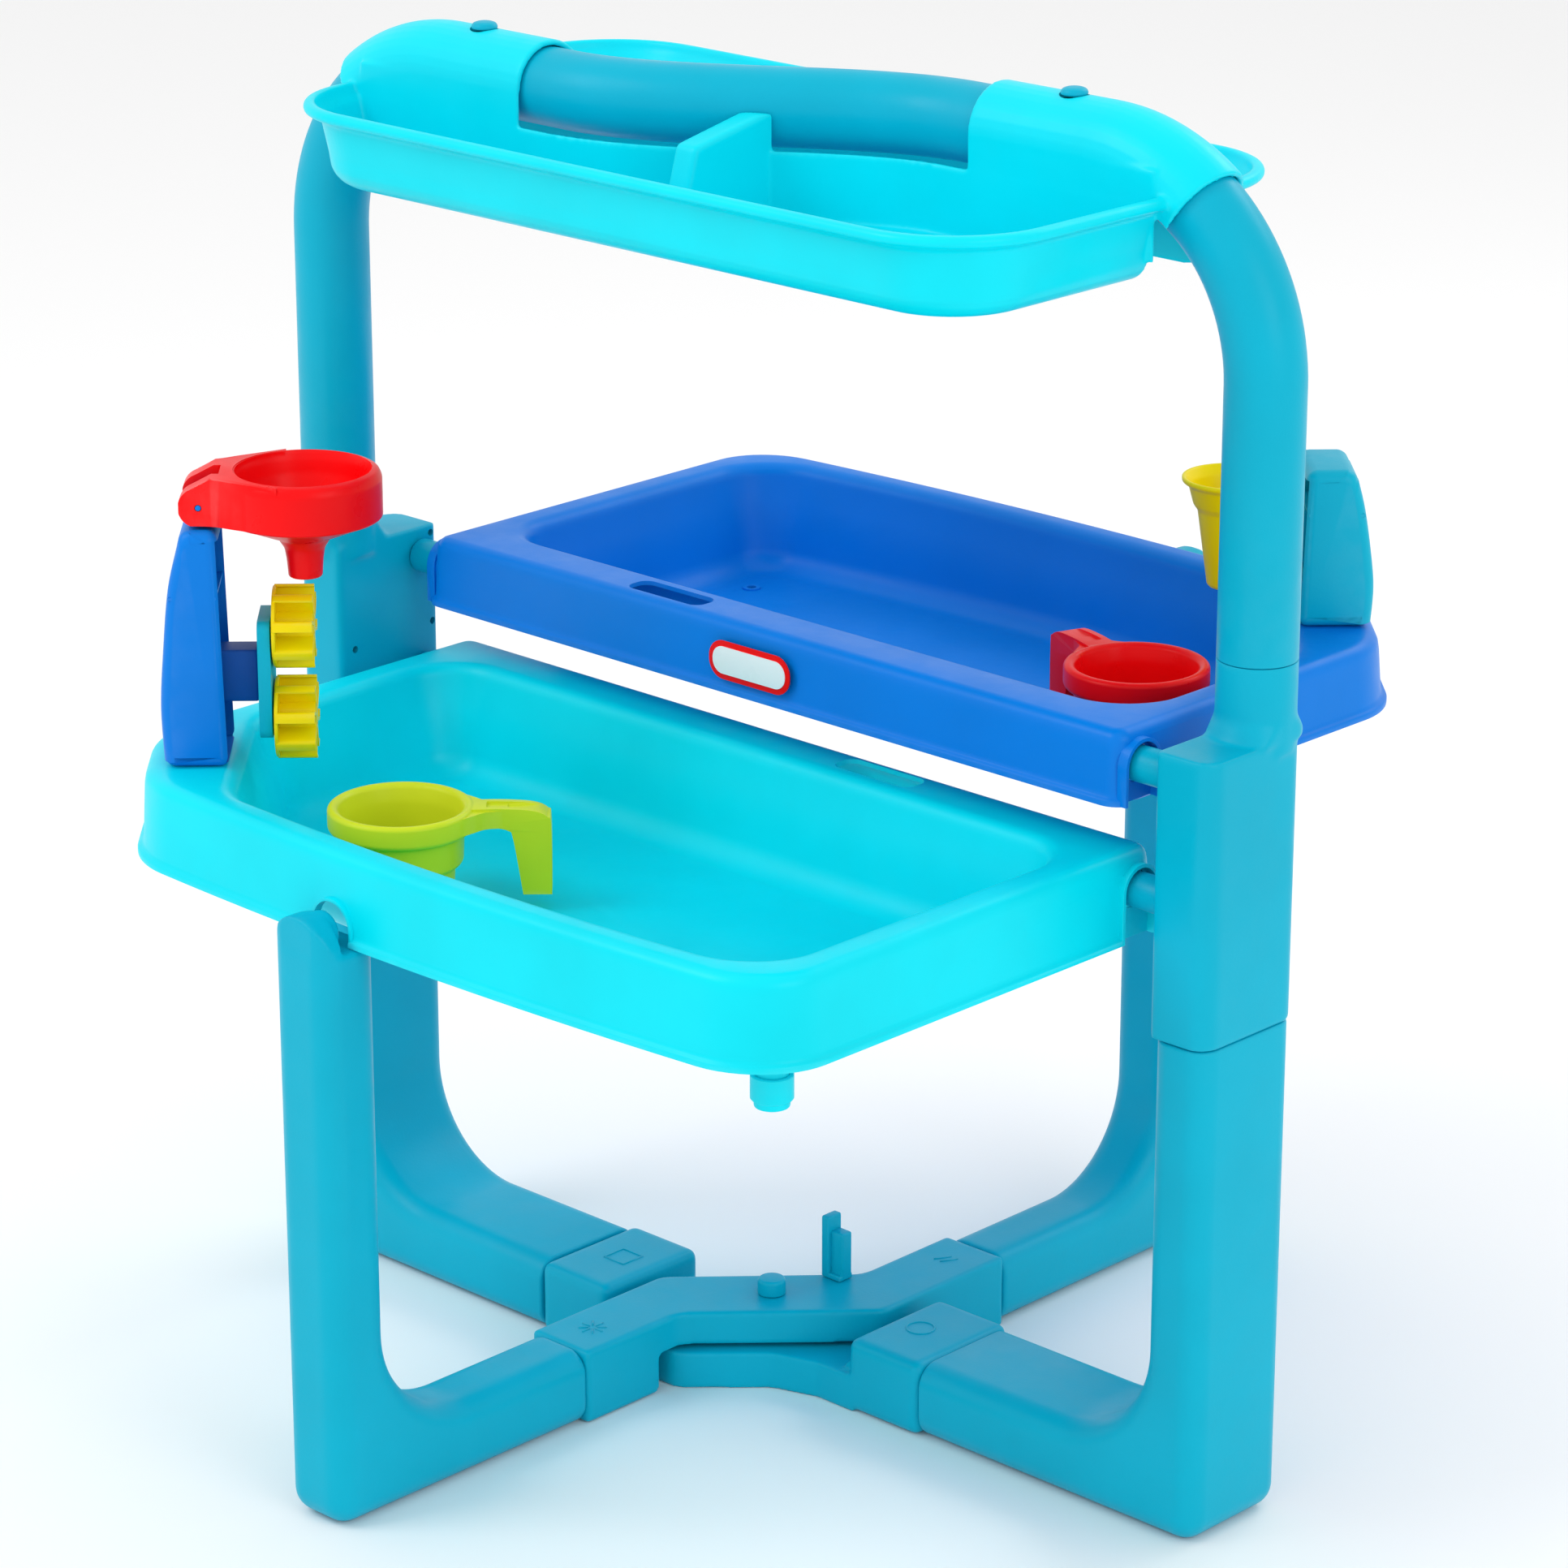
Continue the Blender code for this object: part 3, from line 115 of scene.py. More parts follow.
def plastic(name, colour, roughness=0.36, peel=0.35, fleck=0.035, gloss=0.14, edge_highlight=0.35):
    """Moulded plastic: fine orange peel over slow waviness, a little uneven in colour and in gloss.

    Outer edges are painted paler: a painted highlight along the edges, laid on in broken patches.
    """
    mat = bpy.data.materials.new(name)
    mat.use_nodes = True
    tree = mat.node_tree
    nodes, links = tree.nodes, tree.links
    shader = nodes["Principled BSDF"]
    shader.inputs["Specular IOR Level"].default_value = gloss
    place = nodes.new("ShaderNodeTexCoord").outputs["Object"]

    def noise(scale, detail, rough=0.5):
        node = nodes.new("ShaderNodeTexNoise")
        node.inputs["Scale"].default_value = scale
        node.inputs["Detail"].default_value = detail
        node.inputs["Roughness"].default_value = rough
        links.new(place, node.inputs["Vector"])
        return node.outputs["Fac"]

    def spread(source, low, high, start=0.3, stop=0.7):
        node = nodes.new("ShaderNodeMapRange")
        node.inputs["From Min"].default_value = start
        node.inputs["From Max"].default_value = stop
        node.inputs["To Min"].default_value = low
        node.inputs["To Max"].default_value = high
        links.new(source, node.inputs["Value"])
        return node.outputs["Result"]

    def mix(factor, a, b):
        node = nodes.new("ShaderNodeMix")
        node.data_type = "RGBA"
        links.new(factor, node.inputs["Factor"])
        for socket, value in ((node.inputs["A"], a), (node.inputs["B"], b)):
            if isinstance(value, tuple):
                socket.default_value = (*value, 1.0)
            else:
                links.new(value, socket)
        return node.outputs["Result"]

    deep = tuple(max(0.0, c * (1 - fleck * 1.6)) for c in colour)
    pale = tuple(min(1.0, c * (1 + fleck)) for c in colour)
    clouds = mix(spread(noise(9.0, 3.0), 0.0, 1.0), deep, pale)
    # Painted highlight: convex edges, found by pointiness, are mixed towards a paler tint in broken patches.
    edge = nodes.new("ShaderNodeNewGeometry").outputs["Pointiness"]
    highlight_tint = tuple(min(1.0, c + 0.12 * (1 - c)) for c in colour)
    painted_highlight_mask = spread(edge, 0.0, edge_highlight, 0.53, 0.62)
    patchy_highlight = nodes.new("ShaderNodeMath")
    patchy_highlight.operation = "MULTIPLY"
    links.new(painted_highlight_mask, patchy_highlight.inputs[0])
    links.new(spread(noise(60.0, 4.0), 0.2, 1.0, 0.35, 0.65), patchy_highlight.inputs[1])
    links.new(mix(patchy_highlight.outputs["Value"], clouds, highlight_tint), shader.inputs["Base Color"])
    links.new(spread(noise(35.0, 5.0, 0.6), roughness - 0.05, roughness + 0.08), shader.inputs["Roughness"])

    waves = nodes.new("ShaderNodeBump")
    waves.inputs["Strength"].default_value = 0.35
    waves.inputs["Distance"].default_value = 0.0011
    links.new(noise(26.0, 2.0), waves.inputs["Height"])
    skin = nodes.new("ShaderNodeBump")
    skin.inputs["Strength"].default_value = peel
    skin.inputs["Distance"].default_value = 0.00022
    links.new(noise(520.0, 3.0, 0.55), skin.inputs["Height"])
    links.new(waves.outputs["Normal"], skin.inputs["Normal"])
    links.new(skin.outputs["Normal"], shader.inputs["Normal"])
    return mat


def metal(name):
    mat = plastic(name, (0.50, 0.51, 0.52), 0.32, 0.2, 0.08, 0.5, 0.0)
    mat.node_tree.nodes["Principled BSDF"].inputs["Metallic"].default_value = 1.0
    return mat


MATERIALS = {
    "teal_plastic": plastic("teal_plastic", (0.000, 0.425, 0.600)),
    "aqua_plastic": plastic("aqua_plastic", (0.000, 0.740, 0.860), 0.34, 0.25),
    "blue_plastic": plastic("blue_plastic", (0.000, 0.200, 0.720), 0.34, 0.25),
    "dark_blue_plastic": plastic("dark_blue_plastic", (0.000, 0.085, 0.400)),
    "red_plastic": plastic("red_plastic", (0.960, 0.002, 0.004), 0.30, 0.15),
    "yellow_plastic": plastic("yellow_plastic", (0.920, 0.710, 0.000), 0.32, 0.15),
    "lime_plastic": plastic("lime_plastic", (0.620, 0.700, 0.020), 0.32, 0.15),
    "screw_steel": metal("screw_steel"),
    "badge_white": plastic("badge_white", (0.86, 0.86, 0.87), 0.28, 0.05, 0.02),
}


# ---------------------------------------------------------------- helpers

def solid_of(name, mesh):
    obj = bpy.data.objects.new(name, mesh)
    bpy.context.scene.collection.objects.link(obj)
    return obj


def from_bmesh(name, bm):
    bmesh.ops.recalc_face_normals(bm, faces=bm.faces)
    mesh = bpy.data.meshes.new(name)
    bm.to_mesh(mesh)
    bm.free()
    return solid_of(name, mesh)


def drop(*objects):
    for obj in objects:
        bpy.data.objects.remove(obj, do_unlink=True)


def baked(obj):
    """The evaluated mesh, welded, in world space, as a new object. The old one is removed."""
    bpy.context.view_layer.update()
    graph = bpy.context.evaluated_depsgraph_get()
    mesh = bpy.data.meshes.new_from_object(obj.evaluated_get(graph), depsgraph=graph)
    mesh.transform(obj.matrix_world)
    name = obj.name
    drop(obj)
    bm = bmesh.new()
    bm.from_mesh(mesh)
    bmesh.ops.remove_doubles(bm, verts=bm.verts, dist=2e-6)
    bmesh.ops.recalc_face_normals(bm, faces=bm.faces)
    bm.to_mesh(mesh)
    bm.free()
    return solid_of(name, mesh)


def look(node, solid, angle=32.0, tag="look", replace=True, slot=None):
    """The finished piece: it rides with its CAD node's body, wears its material and stands for the node."""
    obj = baked(solid)
    obj.name = f"{node}_{tag}"
    obj.data.name = obj.name
    obj.data.materials.clear()
    obj.data.materials.append(MATERIALS[slot or SLOT_OF[node]])
    obj.data.shade_smooth()
    if angle:
        obj.data.set_sharp_from_angle(angle=radians(angle))
    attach(obj, BODY_OF[node])
    if replace:
        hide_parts(node)
    return obj


def moved(solid, matrix):
    solid.data.transform(matrix)
    if matrix.determinant() < 0:
        solid.data.flip_normals()
    return solid


HALF_TURN = Matrix.Rotation(pi, 4, "Z")


def twin(solid):
    """The same solid on the other side, half a turn round the table's middle."""
    mesh = solid.data.copy()
    mesh.transform(HALF_TURN)
    return solid_of(solid.name, mesh)


def arc(cx, cy, radius, start, end, steps):
    angles = [radians(start + (end - start) * i / steps) for i in range(steps + 1)]
    return [(cx + radius * cos(a), cy + radius * sin(a)) for a in angles]


def rounded(corners, steps=8):
    """An outline through (x, y, radius) corners, with each corner replaced by an arc."""
    points = []
    for i, (x, y, radius) in enumerate(corners):
        here = Vector((x, y))
        before = (Vector(corners[i - 1][:2]) - here).normalized()
        after = (Vector(corners[(i + 1) % len(corners)][:2]) - here).normalized()
        if radius <= 0:
            points.append((x, y))
            continue
        half = before.angle(after) / 2
        centre = here + (before + after).normalized() * radius / sin(half)
        first = here + before * radius / (sin(half) / cos(half)) - centre
        last = here + after * radius / (sin(half) / cos(half)) - centre
        turn = first.angle_signed(last)
        for k in range(steps + 1):
            spoke = first.copy()
            spoke.rotate(Matrix.Rotation(-turn * k / steps, 2))
            points.append(tuple(centre + spoke))
    return points


def box_outline(x0, x1, y0, y1, radius, steps=8):
    return rounded([(x0, y0, radius), (x1, y0, radius), (x1, y1, radius), (x0, y1, radius)], steps)


X_FROM_Z = Matrix(((0, 0, 1, 0), (1, 0, 0, 0), (0, 1, 0, 0), (0, 0, 0, 1)))


def plate(name, outline, low, high, across="Z"):
    """An outline thickened between two coordinates of the axis that it lies across."""
    curve = bpy.data.curves.new(name, "CURVE")
    curve.dimensions = "2D"
    curve.fill_mode = "BOTH"
    curve.extrude = (high - low) / 2
    spline = curve.splines.new("POLY")
    spline.points.add(len(outline) - 1)
    for point, (x, y) in zip(spline.points, outline):
        point.co = (x, y, 0.0, 1.0)
    spline.use_cyclic_u = True
    flat = solid_of(name, curve)
    middle = (low + high) / 2
    flat.matrix_world = {
        "Z": Matrix.Translation((0, 0, middle)),
        "Y": Matrix.Translation((0, middle, 0)) @ Matrix.Rotation(pi / 2, 4, "X"),
        "X": Matrix.Translation((middle, 0, 0)) @ X_FROM_Z,
    }[across]
    return baked(flat)


def block(name, x0, x1, y0, y1, z0, z1, radius=0.0, steps=4):
    bm = bmesh.new()
    bmesh.ops.create_cube(bm, size=1.0)
    size = Vector((x1 - x0, y1 - y0, z1 - z0))
    centre = Vector((x0 + x1, y0 + y1, z0 + z1)) / 2
    bmesh.ops.transform(bm, matrix=Matrix.LocRotScale(centre, None, size), verts=bm.verts)
    solid = from_bmesh(name, bm)
    return bevelled(solid, radius, steps) if radius else solid


def rod(name, radius, start, end, sides=48, radius_end=None):
    start, end = Vector(start), Vector(end)
    bm = bmesh.new()
    far = radius if radius_end is None else radius_end
    depth = (end - start).length
    bmesh.ops.create_cone(bm, cap_ends=True, segments=sides, radius1=radius, radius2=far, depth=depth)
    turn = (end - start).to_track_quat("Z", "Y")
    bmesh.ops.transform(bm, matrix=Matrix.LocRotScale((start + end) / 2, turn, None), verts=bm.verts)
    return from_bmesh(name, bm)


def bevelled(solid, width, steps=4, angle=38.0, clamp=True):
    bevel = solid.modifiers.new("edges", "BEVEL")
    bevel.width = width
    bevel.segments = steps
    bevel.limit_method = "ANGLE"
    bevel.angle_limit = radians(angle)
    bevel.use_clamp_overlap = clamp
    return baked(solid)


def boolean(solid, other, operation):
    modifier = solid.modifiers.new("join", "BOOLEAN")
    modifier.operation = operation
    modifier.solver = "MANIFOLD"
    modifier.object = other
    result = baked(solid)
    drop(other)
    return result


def joined(solid, *others):
    for other in others:
        solid = boolean(solid, other, "UNION")
    return solid


def cut(solid, *others):
    for other in others:
        solid = boolean(solid, other, "DIFFERENCE")
    return solid


def softened(solid, voxel, rounds, keep=0.5):
    """Melt the joins between shapes into the fillets that a moulding has."""
    if not FINE:
        voxel, keep = voxel * 1.5, 1.0
    remesh = solid.modifiers.new("skin", "REMESH")
    remesh.mode = "VOXEL"
    remesh.voxel_size = voxel
    remesh.adaptivity = 0.0
    melt = solid.modifiers.new("melt", "SMOOTH")
    melt.factor = 0.5
    melt.iterations = rounds
    if keep < 1:
        thin = solid.modifiers.new("thin", "DECIMATE")
        thin.ratio = keep
    return baked(solid)


def turned(name, profile, sides=96):
    """A profile of (radius, height) points turned about Z."""
    mesh = bpy.data.meshes.new(name)
    edges = [(i, i + 1) for i in range(len(profile) - 1)]
    if profile[0][0] > 0 and profile[-1][0] > 0:
        edges.append((len(profile) - 1, 0))
    mesh.from_pydata([(radius, 0.0, height) for radius, height in profile], edges, [])
    solid = solid_of(name, mesh)
    screw = solid.modifiers.new("turn", "SCREW")
    screw.steps = screw.render_steps = sides
    screw.use_merge_vertices = True
    screw.merge_threshold = 0.00001
    return baked(solid)


def eased(profile, most, steps=4):
    """A turned profile with its inner corners rounded."""
    points = [profile[0]]
    for i in range(1, len(profile) - 1):
        a, p, b = (Vector(profile[k]) for k in (i - 1, i, i + 1))
        reach = min(most, (a - p).length * 0.45, (b - p).length * 0.45)
        first, last = p + (a - p).normalized() * reach, p + (b - p).normalized() * reach
        for k in range(steps + 1):
            t = k / steps
            points.append(tuple(first * (1 - t) ** 2 + p * 2 * t * (1 - t) + last * t * t))
    points.append(profile[-1])
    return points


def loft(name, rings, cap_first=False, cap_last=True):
    bm = bmesh.new()
    rows = [[bm.verts.new(point) for point in ring] for ring in rings]
    count = len(rings[0])
    for low, high in zip(rows, rows[1:]):
        for i in range(count):
            k = (i + 1) % count
            bm.faces.new((low[i], low[k], high[k], high[i]))
    if cap_first:
        bm.faces.new(rows[0][::-1])
    if cap_last:
        bm.faces.new(rows[-1])
    return from_bmesh(name, bm)


def tube(name, points, radius, resolution=12, cyclic=False):
    curve = bpy.data.curves.new(name, "CURVE")
    curve.dimensions = "3D"
    curve.bevel_depth = radius
    curve.bevel_resolution = resolution
    curve.use_fill_caps = True
    spline = curve.splines.new("POLY")
    spline.points.add(len(points) - 1)
    for point, co in zip(spline.points, points):
        point.co = (*co, 1.0)
    spline.use_cyclic_u = cyclic
    return baked(solid_of(name, curve))


# ---------------------------------------------------------------- leg frames

def leg_outline(seam, inner, outer, top, inset):
    bend = arc(inner - FOOT_CURVE, FOOT_H + FOOT_CURVE, FOOT_CURVE + inset, -90, 0, 28)
    toe = arc(outer - TOE_R, TOE_R, TOE_R - inset, -90, 0, 10)
    upright = [(outer - inset, top), (inner + inset, top)]
    return [(seam, inset), *toe, *upright, *reversed(bend), (seam, FOOT_H - inset)]


def leg_solid(outline, near, far, edge, place):
    """A leg between two sides. Its outline draws in towards each side, so that its long edges are round."""
    turns = [radians(a) for a in range(0, 91, 9)]
    sides = [(near + edge * (1 - cos(a)), edge * (1 - sin(a))) for a in turns]
    sides += [(far - edge * (1 - cos(a)), edge * (1 - sin(a))) for a in reversed(turns)]
    rings = [[place(u, side, v) for u, v in leg_outline(*outline, inset)] for side, inset in sides]
    return loft("leg", rings, cap_first=True)


def trimmed(solid, keep, edge=0.0022):
    return bevelled(boolean(solid, keep, "INTERSECT"), edge, 3, 60.0)


def wide_leg():
    outline = (WIDE_SEAM - 0.04, WIDE_IN, WIDE_OUT, LEG_TOP + 0.04)
    solid = leg_solid(outline, WIDE_NEAR, WIDE_FAR, WIDE_EDGE, lambda u, side, v: (u, side, v))
    solid = trimmed(solid, block("keep", WIDE_SEAM + GAP, 0.5, -0.1, 0.1, -0.1, LEG_TOP - GAP))
    look("left_leg", twin(solid), 50)
    look("right_leg", solid, 50)


def narrow_leg(name, side, cap_top, skirt_low):
    outline = (NARROW_SEAM - 0.04, NARROW_IN, NARROW_OUT, cap_top + 0.04)

    def tall_leg():
        return leg_solid(outline, NARROW_NEAR, NARROW_FAR, NARROW_EDGE, lambda u, side, v: (side, u, v))

    leg, hull = tall_leg(), tall_leg()
    leg = trimmed(leg, block("keep", 0.0, 0.1, NARROW_SEAM + GAP, 0.5, -0.1, skirt_low - 2 * GAP))
    middle = (NARROW_NEAR + NARROW_FAR) / 2
    low = skirt_low - 0.060
    crown = arc(middle, cap_top - CAP_R, CAP_R, 0, 180, 28)
    arch = [(middle + CAP_R, low), *crown, (middle - CAP_R, low)]
    cap = plate("cap", arch, CAP_IN, NARROW_OUT - 0.0004, "Y")
    cap = boolean(bevelled(cap, 0.0065, 5), hull, "INTERSECT")
    boss_z = cap_top - 0.0140
    boss = rod("boss", 0.0140, (LEG_NOTCH_X, CAP_IN - 0.0075, boss_z), (LEG_NOTCH_X, CAP_IN + 0.004, boss_z))
    boss = bevelled(boss, 0.0020, 4)
    solid = softened(joined(leg, cap, boss), 0.0016, 5, 0.5)
    if side < 0:
        solid = moved(solid, HALF_TURN)
    look(name, solid, 0)


def mark(node, name, strokes, radius=0.0007):
    """Raised strokes on a cross piece, moulded in so that the legs can be told apart."""
    for i, points in enumerate(strokes):
        closed = points[0] == points[-1] and len(points) > 3
        path = points[:-1] if closed else points
        look(node, tube(name, path, radius, 3, closed), 0, f"{name}_{i}", False)


def lower_cross():
    right = block("arm", 0.0894, WIDE_SEAM, WIDE_NEAR, WIDE_FAR, 0.0, FOOT_H, 0.0070, 5)
    left = twin(right)
    half = [(0.0950, WIDE_NEAR, 0), (0.0950, WIDE_FAR, 0), (0.0200, WIDE_FAR, 0.024)]
    half += [(-0.0280, 0.0300, 0.024), (-0.0620, -WIDE_NEAR, 0.024)]
    outline = rounded(half + [(-x, -y, r) for x, y, r in half], 8)
    middle = bevelled(plate("middle", outline, 0.0, ARM_SEAM - 0.0035, "Z"), 0.0035, 3)
    coves = []
    for side in (-1, 1):
        x, near, far = side * 0.0905, side * (WIDE_NEAR + 0.006), side * (WIDE_FAR - 0.006)
        coves.append(rod("cove", 0.0100, (x, near, 0.0245), (x, far, 0.0245), 32))
    solid = softened(joined(middle, right, left, *coves), 0.0015, 4, 0.5)
    bore = rod("bore", 0.0062, (0, 0, -0.01), (0, 0, 0.1))
    recess = rod("recess", 0.0125, (0, 0, -0.01), (0, 0, 0.004))
    look("lower_cross_piece", cut(solid, bore, recess), 45)
    top = FOOT_H + 0.0001
    ring = [(x, y, top) for x, y in arc(0.1150, 0.0287, 0.0098, 0, 360, 40)]
    mark("lower_cross_piece", "round_mark", [ring])
    cx, cy, s = -0.1190, -0.0287, 0.0095
    square = [(cx + s * i, cy + s * k, top) for i, k in ((-1, -1), (1, -1), (1, 1), (-1, 1), (-1, -1))]
    mark("lower_cross_piece", "square_mark", [square])


def upper_cross():
    reach = 0.0450
    half = [(NARROW_FAR, reach - 0.0120, 0.016), (NARROW_FAR, NARROW_SEAM, 0), (NARROW_NEAR, NARROW_SEAM, 0)]
    half.append((NARROW_NEAR, 0.0690, 0.022))
    outline = rounded(half + [(-x, -y, r) for x, y, r in half], 8)
    solid = bevelled(plate("bridge", outline, 0.0, FOOT_H, "Z"), 0.0065, 5)
    under = bevelled(block("under", -0.12, 0.12, -0.0900, 0.0900, -0.03, ARM_SEAM), 0.006, 4)
    solid = cut(solid, under)
    solid = softened(solid, 0.0015, 3, 0.5)
    bore = rod("bore", 0.0062, (0, 0, -0.01), (0, 0, 0.1))
    look("upper_cross_piece", cut(solid, bore), 45)
    top = FOOT_H + 0.0001
    rays = []
    for k in range(8):
        a = pi * k / 4
        rays.append([(-0.0500 + r * cos(a), -0.1270 + r * sin(a), top) for r in (0.0030, 0.0098)])
    mark("upper_cross_piece", "star_mark", rays)
    slashes = [[(0.0440 + d, 0.1210, top), (0.0500 + d, 0.1330, top)] for d in (0.0, 0.0060)]
    mark("upper_cross_piece", "slash_mark", slashes)


def small_parts():
    profile = [(0.0, 0.0660), (0.0088, 0.0656), (0.0100, 0.0638), (0.0100, FOOT_H + GAP)]
    profile += [(0.0055, FOOT_H + GAP), (0.0055, 0.0037), (0.0115, 0.0037), (0.0115, 0.0008), (0.0, 0.0008)]
    look("pivot_pin", turned("pin", eased(profile, 0.0012), 64))
    tall = block("tall", 0.0060, 0.0130, 0.0440, 0.0580, FOOT_H + GAP, 0.1010, 0.0016, 4)
    short = block("short", 0.0120, 0.0240, 0.0470, 0.0570, FOOT_H + GAP, 0.0900, 0.0016, 4)
    foot = block("foot", 0.0062, 0.0238, 0.0442, 0.0578, FOOT_H + GAP, FOOT_H + 0.0045, 0.0012, 3)
    look("latch_peg", joined(tall, short, foot))


# ---------------------------------------------------------------- posts and arch

def screw_places():
    return [(WIDE_NEAR + 0.006, 0.5360), (WIDE_NEAR + 0.006, 0.4700), (WIDE_FAR - 0.014, 0.4650)]


def hinge_post():
    inner = [(WIDE_IN, y, POST_INNER_EDGE) for y in (WIDE_FAR, WIDE_NEAR)]
    outer = [(WIDE_OUT, y, POST_OUTER_EDGE) for y in (WIDE_NEAR, WIDE_FAR)]
    outline = rounded([inner[1], *outer, inner[0]], 10)
    body = plate("block", outline, LEG_TOP, BLOCK_TOP - 0.001, "Z")
    neck = rod("neck", TUBE_R, (POST_X, POST_Y, BLOCK_TOP - 0.01), (POST_X, POST_Y, POST_TOP + 0.02), 64)
    low, high = (POST_X, POST_Y, BLOCK_TOP - 0.002), (POST_X, POST_Y, BLOCK_TOP + 0.012)
    collar = rod("collar", TUBE_R + 0.0070, low, high, 64, TUBE_R)
    round_block = box_outline(WIDE_IN, WIDE_OUT + 0.002, WIDE_NEAR, WIDE_FAR + 0.004, 0.016, 10)
    guard = plate("guard", round_block, BLOCK_TOP - 0.02, BLOCK_TOP + 0.03, "Z")
    collar = boolean(collar, guard, "INTERSECT")
    solid = softened(joined(body, neck, collar), 0.0018, 10, 0.5)
    keep = block("keep", 0.30, 0.45, -0.1, 0.15, LEG_TOP + 0.0006, POST_TOP - GAP)
    solid = bevelled(boolean(solid, keep, "INTERSECT"), 0.0012, 2, 70.0)
    for y, z in screw_places():
        solid = cut(solid, rod("hole", 0.0026, (WIDE_IN - 0.01, y, z), (WIDE_IN + 0.012, y, z), 32))
    look("left_hinge_post", twin(solid), 45)
    look("right_hinge_post", solid, 45)
    for i, (y, z) in enumerate(screw_places(), 1):
        head = rod("head", 0.0020, (WIDE_IN + 0.0040, y, z), (WIDE_IN + 0.0110, y, z), 32)
        head = bevelled(head, 0.0004, 2)
        slots = [
            block("slot", WIDE_IN, WIDE_IN + 0.0050, y - 0.00035, y + 0.00035, z - 0.0013, z + 0.0013),
            block("slot", WIDE_IN, WIDE_IN + 0.0050, y - 0.0013, y + 0.0013, z - 0.00035, z + 0.00035),
        ]
        screw = cut(head, *slots)
        look(f"left_post_screw_{i}", twin(screw))
        look(f"right_post_screw_{i}", screw)


def tray_pins():
    for level, height in (("lower", LOWER_HINGE_Z), ("upper", UPPER_HINGE_Z)):
        for side, word in ((1, "right"), (-1, "left")):
            start, end = (side * (WIDE_IN - GAP), HINGE_Y, height), (side * 0.3060, HINGE_Y, height)
            look(f"{level}_pin_{word}", bevelled(rod("pin", PIN_R, start, end, 48), 0.0025, 4, 60.0))


def s_curve(x):
    return POST_Y * sin(pi / 2 * max(-1.0, min(1.0, x / S_HALF)))


def arch_half(turn=90.0, fine=4):
    flat = [(x, POST_Y, ARCH_Z) for x in (S_HALF, (S_HALF + BEND_X) / 2)]
    bend = arc(BEND_X, ARCH_Z - BEND_R, BEND_R, 90, 90 - turn, fine * max(3, round(turn / 11)))
    return flat + [(x, POST_Y, z) for x, z in bend]


def arch_points():
    right = [*arch_half(), (POST_X, POST_Y, POST_TOP + GAP)]
    left = [(-x, -y, z) for x, y, z in reversed(right)]
    steps = 20
    across = [S_HALF * k / steps for k in range(1 - steps, steps)]
    return left + [(x, s_curve(x), ARCH_Z) for x in across] + right


def arch_tube():
    bar = bevelled(tube("arch", arch_points(), TUBE_R, 14), 0.0012, 2, 70.0)
    look("arch_tube", bar, 40)


# ---------------------------------------------------------------- trays

def tray_rings(reach, skirt):
    bow, steps = 0.016, 12

    def outline(half, near, far, radii, chamfer, grow):
        half, near, far = half + grow, near - grow, far + grow
        cut_x, cut_y = chamfer
        corners = [
            (-half, near, max(radii[0] + grow, 0.004)),
            (half, near, max(radii[0] + grow, 0.004)),
            (half, far - cut_y, radii[2]),
            (half - cut_x, far, radii[2]),
            (-half, far, max(radii[1] + grow, 0.006)),
        ]
        points = rounded(corners, steps)
        lines = []
        for i, (x, y) in enumerate(points):
            lines.append((x, y))
            ahead = points[(i + 1) % len(points)]
            if i == 4 * (steps + 1) - 1:
                lines += [(x + (ahead[0] - x) * k / 16, y + (ahead[1] - y) * k / 16) for k in range(1, 16)]
        return [(x, y - bow * (x / half) ** 2 * max(0.0, y / far) ** 2) for x, y in lines]

    def rim(grow, height):
        shape = outline(HALF_W, -BACK, reach, (0.012, 0.050, 0.075), (0.070, 0.070), grow)
        return [(x, y, height) for x, y in shape]

    def basin(grow, height):
        shape = outline(0.2900, 0.0280, reach - 0.0260, (0.040, 0.045, 0.050), (0.110, 0.115), grow)
        return [(x, y, height) for x, y in shape]

    rings = [rim(0.0050, -skirt), rim(0.0050, -skirt + 0.0030), rim(0.0045, -skirt + 0.0040)]
    rings += [rim(0.0034, -skirt + 0.0047), rim(0.0024, -skirt + 0.0060), rim(0.0020, -skirt + 0.0080)]
    rings += [rim(0.0004, -0.0125)]
    edge, lip = 0.0090, 0.0105
    rings += [rim(-edge * (1 - cos(a)), -edge * (1 - sin(a))) for a in QUARTER]
    falling = (pi / 2, 1.3, 1.05, 0.8, 0.55, 0.3, 0.1)
    rings += [basin(lip * (1 - cos(a)), -lip * (1 - sin(a))) for a in falling]
    deep = BASIN_DEEP
    rings += [basin(-0.0045, -0.026), basin(-0.0120, -deep + 0.026)]
    foot, turns = 0.0200, (0.2, 0.5, 0.8, 1.1, 1.35, pi / 2)
    rings += [basin(-0.0125 - foot * (1 - cos(a)), -deep + foot * (1 - sin(a))) for a in turns]
    return rings


def notch_outline(radius):
    return [(radius, -0.09), *arc(0.0, 0.0, radius, 0, 180, 24), (-radius, -0.09)]


